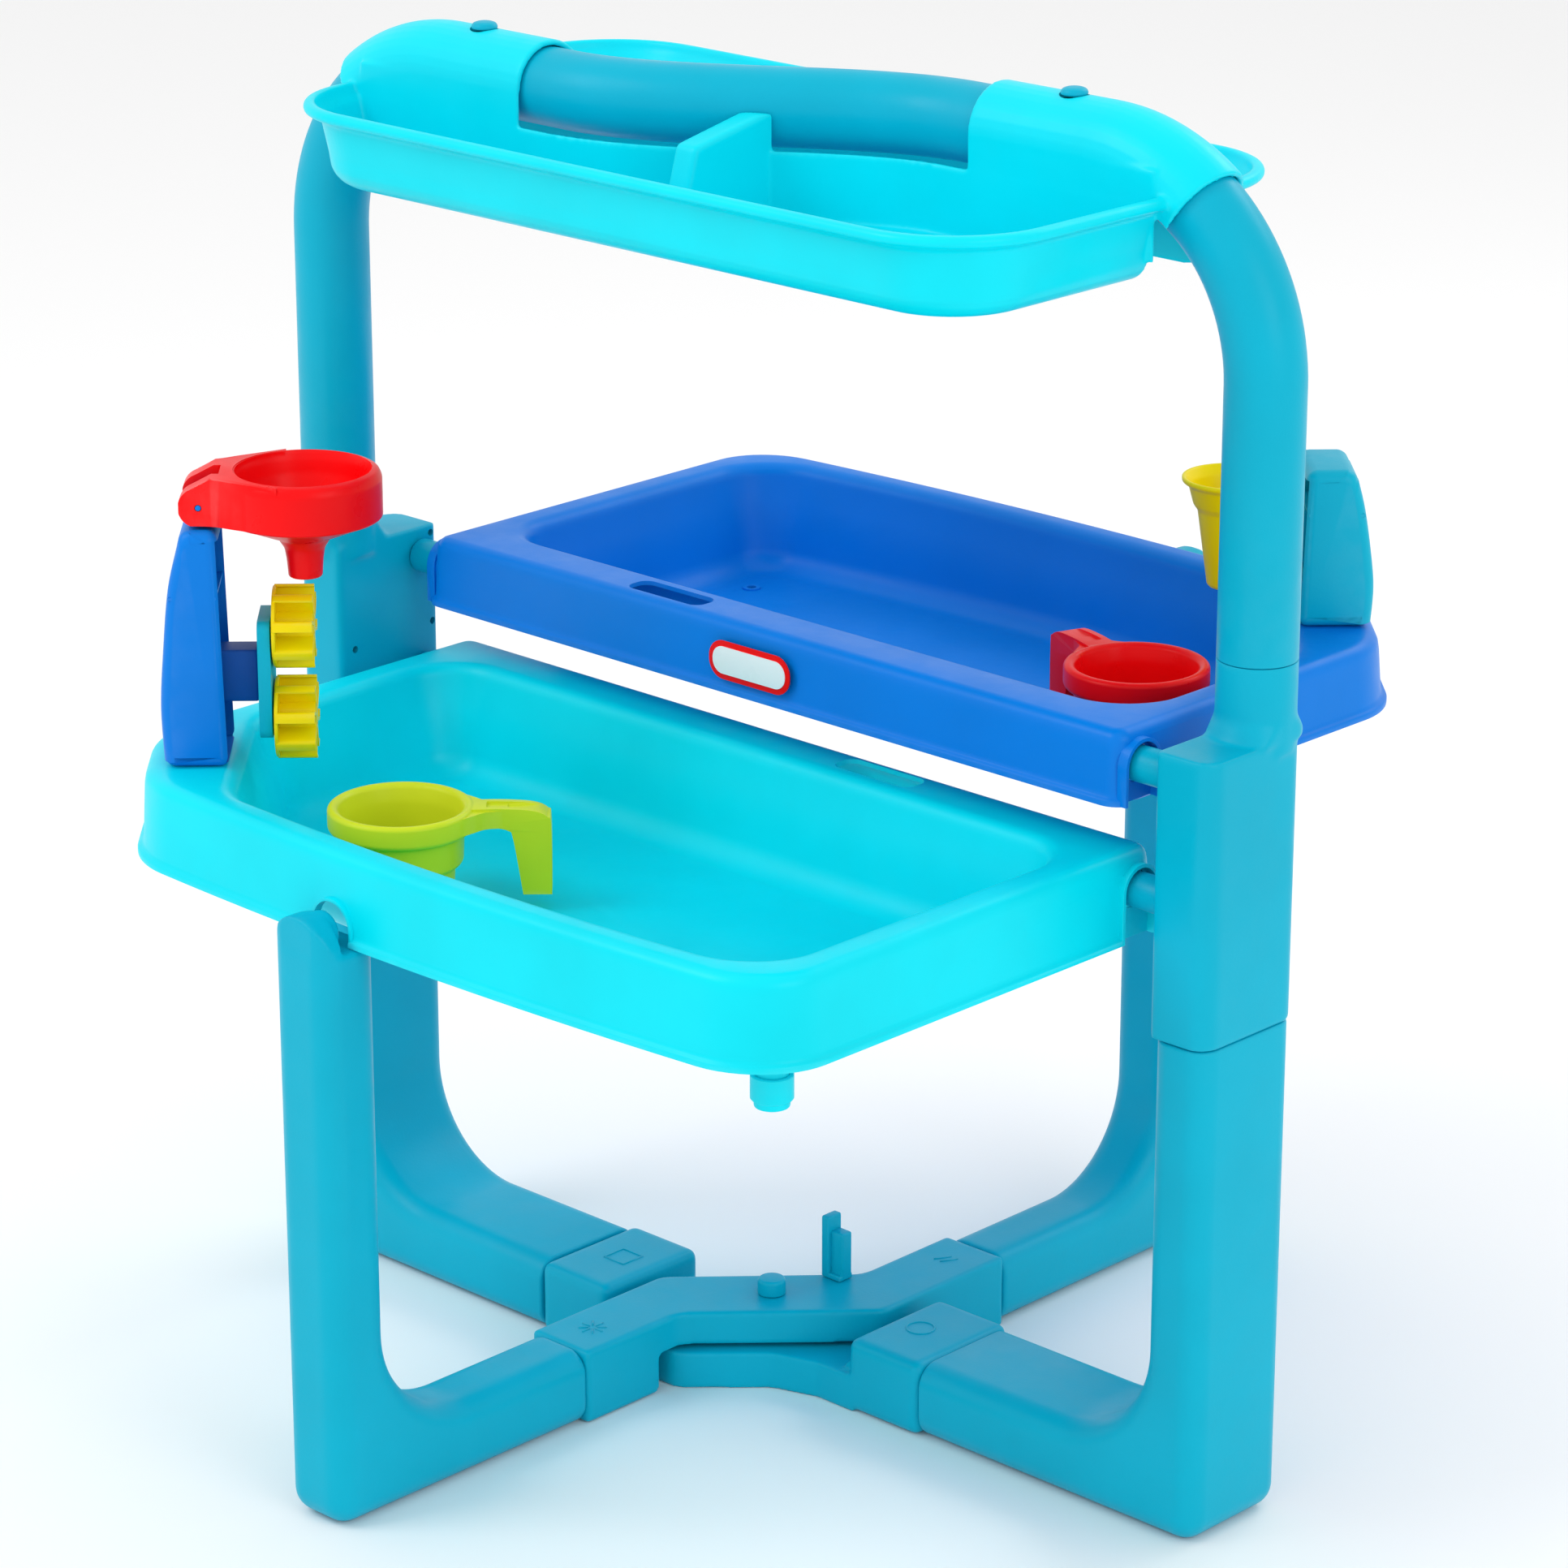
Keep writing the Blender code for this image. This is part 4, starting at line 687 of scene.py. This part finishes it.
def tray(node, reach, rim_z, hinge_z, skirt, drain_at, cap_top, level):
    skin = loft("skin", tray_rings(reach, skirt))
    wall = skin.modifiers.new("wall", "SOLIDIFY")
    wall.thickness = WALL
    wall.offset = -1.0
    wall.use_even_offset = True
    shell = baked(skin)
    pin_z = hinge_z - rim_z
    drain = (-drain_at[0], reach - drain_at[1])
    front_z = cap_top + LEG_NOTCH_RISE - LEG_NOTCH_R - rim_z
    low = -BASIN_DEEP
    nozzle = rod("nozzle", NOZZLE_R, (*drain, low - NOZZLE_DROP), (*drain, low - 0.001))
    lips = []
    for side in (-1, 1):
        lip = plate("lip", notch_outline(NOTCH_R + 0.0025), -0.0038, 0.0038, "X")
        lip = moved(lip, Matrix.Translation((side * (HALF_W + 0.0012), 0.0, pin_z)))
        lips.append(cut(lip, block("under", -0.5, 0.5, -0.1, 0.1, -0.2, -skirt + 0.0002)))
    lip = plate("lip", notch_outline(LEG_NOTCH_R + 0.0020), -0.0030, 0.0030, "Y")
    lip = moved(lip, Matrix.Translation((LEG_NOTCH_X, reach + 0.0012, front_z)))
    lips.append(cut(lip, block("under", -0.5, 0.5, 0.1, 0.5, -0.2, -skirt + 0.0002)))
    lips = [bevelled(one, 0.0014, 3) for one in lips]
    boss = rod("boss", 0.0065, (*drain, low - 0.001), (*drain, low + 0.0012), 40)
    shell = joined(shell, nozzle, *lips, boss)
    bore = rod("bore", NOZZLE_R - 0.0030, (*drain, low - NOZZLE_DROP - 0.01), (*drain, low - 0.0035))
    eye = rod("eye", 0.0035, (*drain, low - 0.01), (*drain, low + 0.01), 32)
    half_l, half_w = SLOT_L / 2, SLOT_W / 2
    hand = box_outline(-SLOT_X - half_l, -SLOT_X + half_l, HINGE_Y - half_w, HINGE_Y + half_w, 0.0085, 8)
    slot = plate("slot", hand, -0.02, 0.02, "Z")
    sides = [
        moved(plate("notch", notch_outline(NOTCH_R), -0.016, 0.016, "X"), Matrix.Translation((x, 0.0, pin_z)))
        for x in (-HALF_W - 0.004, HALF_W + 0.004)
    ]
    front = plate("notch", notch_outline(LEG_NOTCH_R), -0.016, 0.016, "Y")
    front = moved(front, Matrix.Translation((LEG_NOTCH_X, reach, front_z)))
    solid = cut(shell, bore, eye, slot, *sides, front)
    for side in (-1, 1):
        web = plate("web", notch_outline(NOTCH_R + 0.0010), -0.0010, 0.0010, "X")
        web = moved(web, Matrix.Translation((side * (HALF_W - 0.0030), 0.0, pin_z)))
        hole = rod("hole", PIN_R + 0.0010, (side * 0.30, 0.0, pin_z), (side * 0.34, 0.0, pin_z), 48)
        under = block("under", -0.5, 0.5, -0.1, 0.1, -0.2, -skirt + 0.0006)
        solid = joined(solid, cut(web, hole, under))
    place = Matrix.Translation((0, HINGE_Y, rim_z)) @ (HALF_TURN if level == "lower" else Matrix.Identity(4))
    look(node, moved(solid, place), 38)


def drain_cap(node, level):
    if level == "lower":
        x, y, rim = LOWER_DRAIN[0], HINGE_Y - LOWER_REACH + LOWER_DRAIN[1], LOWER_RIM_Z
    else:
        x, y, rim = -UPPER_DRAIN[0], HINGE_Y + UPPER_REACH - UPPER_DRAIN[1], UPPER_RIM_Z
    end = rim - BASIN_DEEP - NOZZLE_DROP
    inner, bottom, top = NOZZLE_R + GAP, end - 0.0055, end + 0.0165
    profile = [(CAP_WIDE - 0.0006, top), (CAP_WIDE, top - 0.0006), (CAP_WIDE, end + 0.0006)]
    profile += [(CAP_WIDE - 0.0008, end - 0.0004), (CAP_TIP + 0.0004, end - 0.0010), (CAP_TIP, end - 0.0018)]
    profile += [(CAP_TIP, bottom + 0.0014), (CAP_TIP - 0.0004, bottom + 0.0005), (CAP_TIP - 0.0014, bottom)]
    profile += [(0.0, bottom), (0.0, end - GAP), (inner, end - GAP), (inner, top)]
    look(node, moved(turned("cap", profile, 64), Matrix.Translation((x, y, 0))))


# ---------------------------------------------------------------- towers

def tower_frame(level):
    y = LOWER_TOWER_Y if level == "lower" else UPPER_TOWER_Y
    x = -TOWER_XY if level == "lower" else TOWER_XY
    return Matrix.Translation((x, y, 0)) @ Matrix.Rotation(pi / 4, 4, "Z")


def curve_through(points, steps=6):
    """A smooth line through points, of Catmull-Rom pieces."""
    line = []
    for i in range(len(points) - 1):
        p0 = Vector(points[max(i - 1, 0)])
        p1, p2 = Vector(points[i]), Vector(points[i + 1])
        p3 = Vector(points[min(i + 2, len(points) - 1)])
        for k in range(steps):
            t = k / steps
            square, cube = 2 * p0 - 5 * p1 + 4 * p2 - p3, 3 * p1 - p0 - 3 * p2 + p3
            line.append(tuple(0.5 * (2 * p1 + (p2 - p0) * t + square * t * t + cube * t ** 3)))
    line.append(tuple(points[-1]))
    return line


def tower(node, level, base, top, foot_r, top_r, knuckle=False):
    height = top - base
    bow = [(0.0, 0.0), (-0.0015, 0.25), (0.0015, 0.5), (0.0060, 0.75), (foot_r - top_r - 0.001, 0.93)]
    back = curve_through([(-foot_r + x, base + height * share) for x, share in bow])
    crown = arc(-top_r + 0.008, top - 0.008, 0.008, 172, 90, 6)
    front = [(foot_r - 0.004, top), (foot_r, base)]
    solid = plate("tower", [*back, *crown, *front], -TOWER_HALF_T, TOWER_HALF_T, "Y")
    solid = bevelled(solid, 0.0075, 6, 60.0, False)
    wall = 0.0028
    inside = [(x + wall, z + (wall if i == 0 else 0)) for i, (x, z) in enumerate(back)]
    ceiling = top - wall - 0.004
    inside += [(-top_r + wall + 0.004, ceiling), (foot_r + 0.01, ceiling), (foot_r + 0.01, base + wall)]
    hollow = plate("hollow", inside, -TOWER_HALF_T + wall, TOWER_HALF_T - wall, "Y")
    solid = cut(solid, bevelled(hollow, 0.0040, 4, 60.0))
    reach = foot_r - 0.006
    half_t, levels = TOWER_HALF_T - 0.001, (base + height * 0.22, base + height * 0.72)
    ribs = [block("rib", -foot_r + 0.004, reach, -half_t, half_t, z - 0.0009, z + 0.0009) for z in levels]
    ribs.append(block("rib", -foot_r - 0.005, reach - 0.004, -0.0009, 0.0009, base + 0.001, top - 0.004))
    within = [(x + 0.001, z) for x, z in back]
    within += [(-top_r + 0.002, top - 0.001), (foot_r, top - 0.001), (foot_r, base)]
    hull = plate("hull", within, -0.1, 0.1, "Y")
    ribs = [boolean(rib, solid_of("hull", hull.data.copy()), "INTERSECT") for rib in ribs]
    drop(hull)
    solid = joined(solid, *ribs)
    if knuckle:
        ear = rod("ear", 0.0090, (KNUCKLE_R, -0.0100, KNUCKLE_Z), (KNUCKLE_R, 0.0100, KNUCKLE_Z), 48)
        stem = block("stem", -0.002, 0.014, -0.0100, 0.0100, top - 0.006, KNUCKLE_Z)
        bore = rod("bore", 0.0023, (KNUCKLE_R, -0.02, KNUCKLE_Z), (KNUCKLE_R, 0.02, KNUCKLE_Z), 24)
        solid = cut(joined(solid, ear, stem), bore)
    if level == "upper":
        solid = moved(solid, HALF_TURN)
    look(node, moved(solid, tower_frame(level)), 40)


def bracket(node, level, base, r_from, r_to):
    z0 = base + 0.0400
    solid = block("bracket", r_from, r_to, -0.0110, 0.0110, z0, z0 + 0.0360, 0.0022, 4)
    step = block("step", r_to - 0.010, r_to - 0.0002, -0.0095, 0.0095, z0 + 0.0010, z0 + 0.0350, 0.002, 3)
    solid = joined(solid, step)
    if level == "upper":
        solid = moved(solid, HALF_TURN)
    look(node, moved(solid, tower_frame(level)))


def paddle_outline():
    """Eight paddles round a wheel, each with a hooked tip: the front of one, then its back, and so on."""
    front = [(0.0085, -0.0012), (0.0180, -0.0004), (0.0264, 0.0014), (0.0276, 0.0046), (0.0268, 0.0086)]
    back = [(0.0252, 0.0084), (0.0254, 0.0046), (0.0246, 0.0034), (0.0180, 0.0018), (0.0085, 0.0012)]
    paddle = curve_through(front, 5) + curve_through(back, 5)
    outline = []
    for k in range(8):
        turn = Matrix.Rotation(k * pi / 4 + WHEEL_REST, 2)
        outline += [tuple(turn @ Vector(point)) for point in paddle]
    return outline


def wheels():
    outline = box_outline(-0.0240, 0.0240, WHEEL_Z[1] - 0.009, WHEEL_Z[0] + 0.009, 0.0070, 8)
    solid = bevelled(plate("plate", outline, PLATE_FROM, PLATE_TO, "X"), 0.0012, 3, 60)
    bores = [rod("bore", AXLE_R + GAP, (0.03, 0, z), (0.06, 0, z), 32) for z in WHEEL_Z]
    look("wheel_plate", moved(cut(solid, *bores), tower_frame("lower")))
    for word, height in zip(("upper", "lower"), WHEEL_Z):
        paddles = plate("paddles", paddle_outline(), WHEEL_FROM + 0.0010, WHEEL_TO - 0.0006, "X")
        paddles = bevelled(paddles, 0.0004, 2, 60)
        disc = rod("disc", WHEEL_R - 0.0012, (WHEEL_FROM, 0, 0), (WHEEL_FROM + 0.0025, 0, 0), 64)
        disc = bevelled(disc, 0.0006, 2)
        drum = rod("drum", 0.0130, (WHEEL_FROM + 0.0005, 0, 0), (WHEEL_TO - 0.0012, 0, 0), 48)
        hub = rod("hub", 0.0076, (WHEEL_FROM + 0.0006, 0, 0), (WHEEL_TO - 0.0008, 0, 0), 40)
        hub = bevelled(hub, 0.0006, 2)
        sink = rod("sink", 0.0056, (WHEEL_TO - 0.0032, 0, 0), (WHEEL_TO + 0.01, 0, 0), 40)
        bore = rod("bore", AXLE_R + RUN, (WHEEL_FROM - 0.01, 0, 0), (WHEEL_TO + 0.01, 0, 0), 32)
        solid = cut(joined(paddles, disc, drum, hub), bore, sink)
        place = tower_frame("lower") @ Matrix.Translation((0, 0, height))
        look(f"{word}_wheel", moved(solid, place))
        shaft = rod("shaft", AXLE_R, (PLATE_FROM + 0.001, 0, 0), (WHEEL_TO - 0.0015, 0, 0), 32)
        head = rod("head", 0.0050, (WHEEL_TO - 0.0026, 0, 0), (WHEEL_TO - 0.0006, 0, 0), 40)
        look(f"{word}_wheel_axle", moved(joined(shaft, bevelled(head, 0.0006, 3)), place))


def funnel():
    profile = [(RING_R - 0.0065, RING_TOP), (RING_R - 0.0022, RING_TOP - 0.0012), (RING_R, RING_TOP - 0.0060)]
    profile += [(RING_R, RING_LOW + 0.001), (RING_R - 0.0008, RING_LOW), (RING_R - 0.0040, RING_LOW - 0.0010)]
    profile += [(0.0300, 0.6200), (0.0180, 0.6150), (0.0135, 0.6080), (0.0122, 0.6000)]
    profile += [(0.0114, SPOUT_LOW + 0.001), (0.0106, SPOUT_LOW), (0.0096, SPOUT_LOW)]
    profile += [(0.0088, SPOUT_LOW + 0.001), (0.0096, 0.6080), (0.0140, 0.6165), (0.0280, 0.6240)]
    profile += [(0.0380, 0.6330), (0.0425, 0.6470), (0.0440, 0.6560)]
    closed = eased([*profile, profile[0]], 0.0020, 4)[:-1]
    bowl = moved(turned("bowl", closed, 112), Matrix.Translation((RING_AT, 0, 0)))
    flank = [(RING_AT - 0.014, 0.0502), (0.030, 0.0345), (0.014, 0.0262), (-0.0070, 0.0250)]
    plan = curve_through(flank, 6)
    plan = plan + [(x, -y) for x, y in reversed(plan)]
    arms = plate("arms", plan, RING_LOW + 0.0006, RING_TOP - 0.0006, "Z")
    side = arc(KNUCKLE_R, KNUCKLE_Z, 0.0135, 110, 250, 14)
    side += [(0.08, RING_LOW + 0.0002), (0.08, RING_TOP - 0.0002), (0.0150, RING_TOP - 0.0002)]
    arms = boolean(arms, plate("side", side, -0.1, 0.1, "Y"), "INTERSECT")
    arms = bevelled(arms, 0.0030, 5, 35)
    inside = rod("inside", RING_R - 0.0075, (RING_AT, 0, RING_LOW - 0.02), (RING_AT, 0, RING_TOP + 0.02), 112)
    slit = block("slit", -0.02, 0.0190, -0.0106, 0.0106, RING_LOW - 0.02, RING_TOP + 0.02)
    bore = rod("bore", 0.0023, (KNUCKLE_R, -0.04, KNUCKLE_Z), (KNUCKLE_R, 0.04, KNUCKLE_Z), 24)
    solid = cut(joined(bowl, cut(arms, inside, slit)), bore)
    look("funnel", moved(solid, tower_frame("lower")), 42)
    pin = rod("pin", 0.0019, (KNUCKLE_R, -0.0255, KNUCKLE_Z), (KNUCKLE_R, 0.0255, KNUCKLE_Z), 24)
    look("funnel_pin", moved(bevelled(pin, 0.0004, 2), tower_frame("lower")))


def tipping_cup():
    rim, low = CUP_RIM_Z, CUP_LOW_Z
    outer = [(0.0, low), (0.0130, low), (0.0150, low + 0.002), (0.0225, 0.6200), (0.0255, 0.6240)]
    outer += [(0.0290, rim - 0.006), (0.0335, rim - 0.003), (0.0335, rim), (0.0310, rim)]
    inner = [(0.0265, rim - 0.006), (0.0232, 0.6250), (0.0205, 0.6200)]
    inner += [(0.0140, low + 0.0160), (0.0, low + 0.0160)]
    profile = list(reversed(eased(outer + inner, 0.0016, 3)))
    cup = moved(turned("cup", profile, 80), Matrix.Translation((CUP_AT, 0, 0)))
    hub = rod("hub", 0.0060, (CUP_AT + 0.0195, 0, CUP_PIN_Z), (-0.0400, 0, CUP_PIN_Z), 40)
    hub = bevelled(hub, 0.0005, 2)
    clear = rod("clear", 0.0190, (CUP_AT, 0, CUP_PIN_Z - 0.02), (CUP_AT, 0, CUP_PIN_Z + 0.02), 48)
    bore = rod("bore", 0.0026 + RUN, (CUP_AT + 0.0240, 0, CUP_PIN_Z), (-0.03, 0, CUP_PIN_Z), 24)
    solid = cut(joined(cup, cut(hub, clear)), bore)
    look("tipping_cup", moved(solid, tower_frame("upper")), 40)
    pin = rod("pin", 0.0026, (CUP_AT + 0.0250, 0, CUP_PIN_Z), (-0.0385, 0, CUP_PIN_Z), 32)
    flange = rod("flange", 0.0065, (-0.0392, 0, CUP_PIN_Z), (-0.0378, 0, CUP_PIN_Z), 40)
    look("cup_pin", moved(joined(pin, flange), tower_frame("upper")))


def scoop(node, x, y, floor, heading):
    outer = [(0.0, 0.0), (0.0320, 0.0), (0.0335, 0.0015), (0.0350, 0.0310), (0.0375, 0.0312)]
    outer += [(0.0405, 0.0340), (0.0415, 0.0550), (0.0460, 0.0552), (0.0485, 0.0580)]
    outer += [(0.0485, 0.0700), (0.0465, 0.0720), (0.0435, 0.0720)]
    inner = [(0.0410, 0.0700), (0.0388, 0.0600), (0.0378, 0.0365)]
    inner += [(0.0322, 0.0340), (0.0305, 0.0028), (0.0, 0.0028)]
    profile = list(reversed(eased(outer + inner, 0.0022, 4)))
    cup = turned("cup", profile, 112)
    top = [(0.0430, 0.0712), (0.0640, 0.0716), (0.0860, 0.0702)]
    top += [(0.0960, 0.0660), (0.0985, 0.0590), (0.0985, 0.0120)]
    low = [(0.0795, 0.0120), (0.0735, 0.0500), (0.0700, 0.0565), (0.0580, 0.0585), (0.0430, 0.0575)]
    hook = curve_through(top, 8) + curve_through(low, 8)
    handle = bevelled(plate("handle", hook, -0.0100, 0.0100, "Y"), 0.0026, 4, 35)
    groove = bevelled(block("groove", 0.0560, 0.0915, -0.0058, 0.0058, 0.0692, 0.0800), 0.0012, 3)
    handle = cut(handle, groove)
    bridge = [(0.0300, 0.0360), (0.0470, 0.0200), (0.0560, 0.0120), (0.0700, 0.0097)]
    plan = curve_through(bridge, 6)
    web = plate("web", plan + [(px, -py) for px, py in reversed(plan)], 0.0582, 0.0700, "Z")
    web = bevelled(web, 0.0018, 3, 60)
    solid = cut(joined(handle, web), rod("clear", 0.0440, (0, 0, 0.02), (0, 0, 0.09), 112))
    solid = joined(cup, solid)
    place = Matrix.Translation((x, y, floor + GAP)) @ Matrix.Rotation(heading, 4, "Z")
    look(node, moved(solid, place), 42)


# ---------------------------------------------------------------- shelf

def shelf_ring(grow, height, steps=18):
    x, y = SHELF_HALF_X + grow, SHELF_HALF_Y + grow
    outline = box_outline(-x, x, -y, y, SHELF_CORNER + grow, steps)
    return [(px, py, height) for px, py in outline]


def under_arch(name, half_width, low, high, fine=4):
    steps = [-0.42, -0.28, *[S_HALF * k / (5 * fine) for k in range(-5 * fine, 5 * fine + 1)], 0.28, 0.42]
    near, far = [], []
    for x in steps:
        slope = Vector((0.02, s_curve(x + 0.01) - s_curve(x - 0.01))).normalized()
        across = Vector((-slope.y, slope.x)) * half_width
        near.append((x - across.x, s_curve(x) - across.y))
        far.append((x + across.x, s_curve(x) + across.y))
    return plate(name, near + far[::-1], low, high, "Z")


def under_bend(side):
    """The space below the arch's centre line where that bends down through the shelf's end."""
    bend = [(side * x, z) for x, _, z in arch_half(45.0)[1:]]
    end = side * 0.36
    outline = [(bend[0][0], 0.7), *bend, (end, bend[-1][1]), (end, 0.7)]
    near, far = sorted((side * (POST_Y - SADDLE_R + 0.0030), side * (POST_Y + SADDLE_R - 0.0030)))
    return plate("under_bend", outline, near, far, "Y")


def saddle(side):
    points = [(SADDLE_FROM, POST_Y, ARCH_Z), *arch_half(SADDLE_TURN, 4)[1:]]
    bar = tube("saddle", [(side * x, side * y, z) for x, y, z in points], SADDLE_R, 14)
    x0, x1 = sorted((side * (SADDLE_FROM + 0.0004), side * 0.3040))
    y0, y1 = sorted((side * (POST_Y - SADDLE_R + 0.0001), side * (POST_Y + SADDLE_R - 0.0001)))
    return joined(bar, block("skirt", x0, x1, y0, y1, 0.8400, ARCH_Z))


def shelf():
    rim, floor = SHELF_RIM_Z, SHELF_FLOOR_Z
    roll = 0.0042
    turns = (0.0, 0.4, 0.8, 1.2, 1.57, 2.0, 2.4)
    rings = [shelf_ring(-roll + roll * sin(a), rim - roll + roll * cos(a)) for a in turns]
    wall = [(-0.0060, rim - 0.0090), (-0.0108, rim - 0.0112), (-0.0118, rim - 0.0125)]
    rings += [shelf_ring(*at) for at in [*wall, (-0.0165, floor + 0.0220)]]
    heel = 0.0180
    rings += [shelf_ring(-0.0170 - heel * (1 - cos(a)), floor + heel * (1 - sin(a))) for a in COARSE_QUARTER]
    tub = loft("tub", rings, cap_first=True)
    wall = [(-0.0080, rim + 0.1), (-0.0080, rim - 0.0010), (-0.0095, rim - 0.0060), (-0.0140, rim - 0.0120)]
    inside = [shelf_ring(*at) for at in [*wall, (-0.0196, floor + 0.0240)]]
    heel, bed = 0.0170, floor + 0.0032
    inside += [shelf_ring(-0.0202 - heel * (1 - cos(a)), bed + heel * (1 - sin(a))) for a in COARSE_QUARTER]
    well = loft("well", inside, cap_first=True)
    keep = under_arch("keep", SADDLE_R, 0.7, 0.8750)
    solid = cut(tub, cut(well, keep))
    solid = joined(solid, saddle(-1), saddle(1))
    base = floor + 0.001
    over = [(-0.1080, base), (-0.0900, 0.8880), (-0.0300, 0.9000), (-0.0100, 0.8990), (-0.0100, base)]
    fin = bevelled(plate("fin", over, 0.0010, 0.0210, "X"), 0.0040, 5)
    solid = joined(solid, fin)
    straight = block("straight", -BEND_X, BEND_X, -0.2, 0.2, 0.6, 1.0)
    channel = boolean(under_arch("channel", SADDLE_R - 0.0030, 0.7, ARCH_Z + 0.0010), straight, "INTERSECT")
    sleeve = tube("sleeve", arch_points(), TUBE_R + 0.0008, 14)
    over_gap = under_arch("over_gap", SADDLE_R - 0.0035, 0.8, 1.0)
    between = block("between", -SADDLE_FROM, SADDLE_FROM, -0.2, 0.2, 0.85, 1.1)
    over_gap = boolean(over_gap, between, "INTERSECT")
    solid = cut(solid, sleeve, channel, under_bend(-1), under_bend(1), over_gap)
    solid = softened(solid, 0.0014, 4, 0.4)
    again = tube("sleeve", arch_points(), TUBE_R + 0.0007, 14)
    ends = [(s * BUTTON_X, s * POST_Y) for s in (-1, 1)]
    holes = [rod("hole", 0.0098, (x, y, 0.90), (x, y, 1.0), 48) for x, y in ends]
    look("shelf", cut(solid, again, *holes), 45)
    low = ARCH_Z + TUBE_R + 0.0042
    profile = [(0.0, low + 0.0050), (0.0050, low + 0.0047), (0.0078, low + 0.0036)]
    profile += [(0.0088, low + 0.0020), (0.0088, low), (0.0, low)]
    for (x, y), word in zip(ends, ("left", "right")):
        button = turned("button", eased(profile, 0.0015, 3), 64)
        look(f"shelf_button_{word}", moved(button, Matrix.Translation((x, y, 0))))


def badge():
    face = HINGE_Y - BACK - 0.0050
    ground = box_outline(-0.0375, 0.0375, -0.0136, 0.0136, 0.0130, 14)
    field = box_outline(-0.0335, 0.0335, -0.0096, 0.0096, 0.0092, 14)
    place = Matrix.Translation((0.0, 0.0, 0.5200))
    red = bevelled(plate("ground", ground, face - 0.0012, face - GAP, "Y"), 0.0005, 3)
    look("badge", moved(red, place), slot="red_plastic")
    white = bevelled(plate("field", field, face - 0.0018, face - 0.0008, "Y"), 0.0004, 3)
    look("badge", moved(white, place), tag="field", replace=False)


# ---------------------------------------------------------------- assembly

wide_leg()
narrow_leg("front_leg", -1, LOWER_CAP_TOP, LOWER_RIM_Z - LOWER_SKIRT)
narrow_leg("back_leg", 1, UPPER_CAP_TOP, UPPER_RIM_Z - UPPER_SKIRT)
lower_cross()
upper_cross()
small_parts()
hinge_post()
tray_pins()
arch_tube()
tray("lower_tray", LOWER_REACH, LOWER_RIM_Z, LOWER_HINGE_Z, LOWER_SKIRT, LOWER_DRAIN, LOWER_CAP_TOP, "lower")
tray("upper_tray", UPPER_REACH, UPPER_RIM_Z, UPPER_HINGE_Z, UPPER_SKIRT, UPPER_DRAIN, UPPER_CAP_TOP, "upper")
drain_cap("lower_drain_cap", "lower")
drain_cap("upper_drain_cap", "upper")
tower("wheel_tower", "lower", LOWER_RIM_Z + GAP, 0.6270, 0.0220, 0.0080, True)
tower("cup_tower", "upper", UPPER_RIM_Z + GAP, 0.6540, 0.0250, 0.0130)
bracket("wheel_bracket", "lower", LOWER_RIM_Z, -0.0160, BRACKET_END)
bracket("cup_bracket", "upper", UPPER_RIM_Z, -0.0130, 0.0375)
wheels()
funnel()
tipping_cup()
scoop("lime_scoop", -0.0920, -0.2550, LOWER_RIM_Z - BASIN_DEEP, radians(45))
scoop("red_scoop", 0.2245, 0.1140, UPPER_RIM_Z - BASIN_DEEP, radians(160))
shelf()
badge()


# ---------------------------------------------------------------- stage

def stage():
    bm = bmesh.new()
    bmesh.ops.create_grid(bm, x_segments=2, y_segments=2, size=30.0)
    floor = from_bmesh("floor", bm)
    floor.location = (0, 0, -0.0004)
    mat = bpy.data.materials.new("floor")
    mat.use_nodes = True
    shader = mat.node_tree.nodes["Principled BSDF"]
    shader.inputs["Base Color"].default_value = (0.96, 0.96, 0.96, 1)
    shader.inputs["Roughness"].default_value = 0.8
    floor.data.materials.append(mat)
    world = bpy.data.worlds.new("studio")
    bpy.context.scene.world = world
    world.use_nodes = True
    world.node_tree.nodes["Background"].inputs["Color"].default_value = (1.0, 1.0, 1.0, 1)
    world.node_tree.nodes["Background"].inputs["Strength"].default_value = 0.90

    def softbox(name, where, aim, size, power):
        data = bpy.data.lights.new(name, "AREA")
        data.shape = "RECTANGLE"
        data.size, data.size_y = size
        data.energy = power
        lamp = bpy.data.objects.new(name, data)
        bpy.context.scene.collection.objects.link(lamp)
        lamp.location = where
        lamp.rotation_euler = (Vector(aim) - Vector(where)).to_track_quat("-Z", "Y").to_euler()

    softbox("key", (-1.6, -2.6, 3.4), (0, 0, 0.45), (1.8, 1.8), 46)
    softbox("fill", (3.0, -0.6, 1.8), (0, 0, 0.45), (1.6, 1.6), 16)
    softbox("rim", (0.4, 2.8, 2.6), (0, 0, 0.6), (2.0, 1.0), 20)

    data = bpy.data.cameras.new("camera")
    data.sensor_width = 36.0
    data.lens = 121.26
    data.clip_end = 100.0
    camera = bpy.data.objects.new("camera", data)
    bpy.context.scene.collection.objects.link(camera)
    camera.location = (2.34476, -2.44629, 1.60454)
    camera.rotation_euler = (radians(90 - 19.0887), 0, radians(43.6406))
    bpy.context.scene.camera = camera
    bpy.context.scene.view_settings.view_transform = "Standard"


stage()
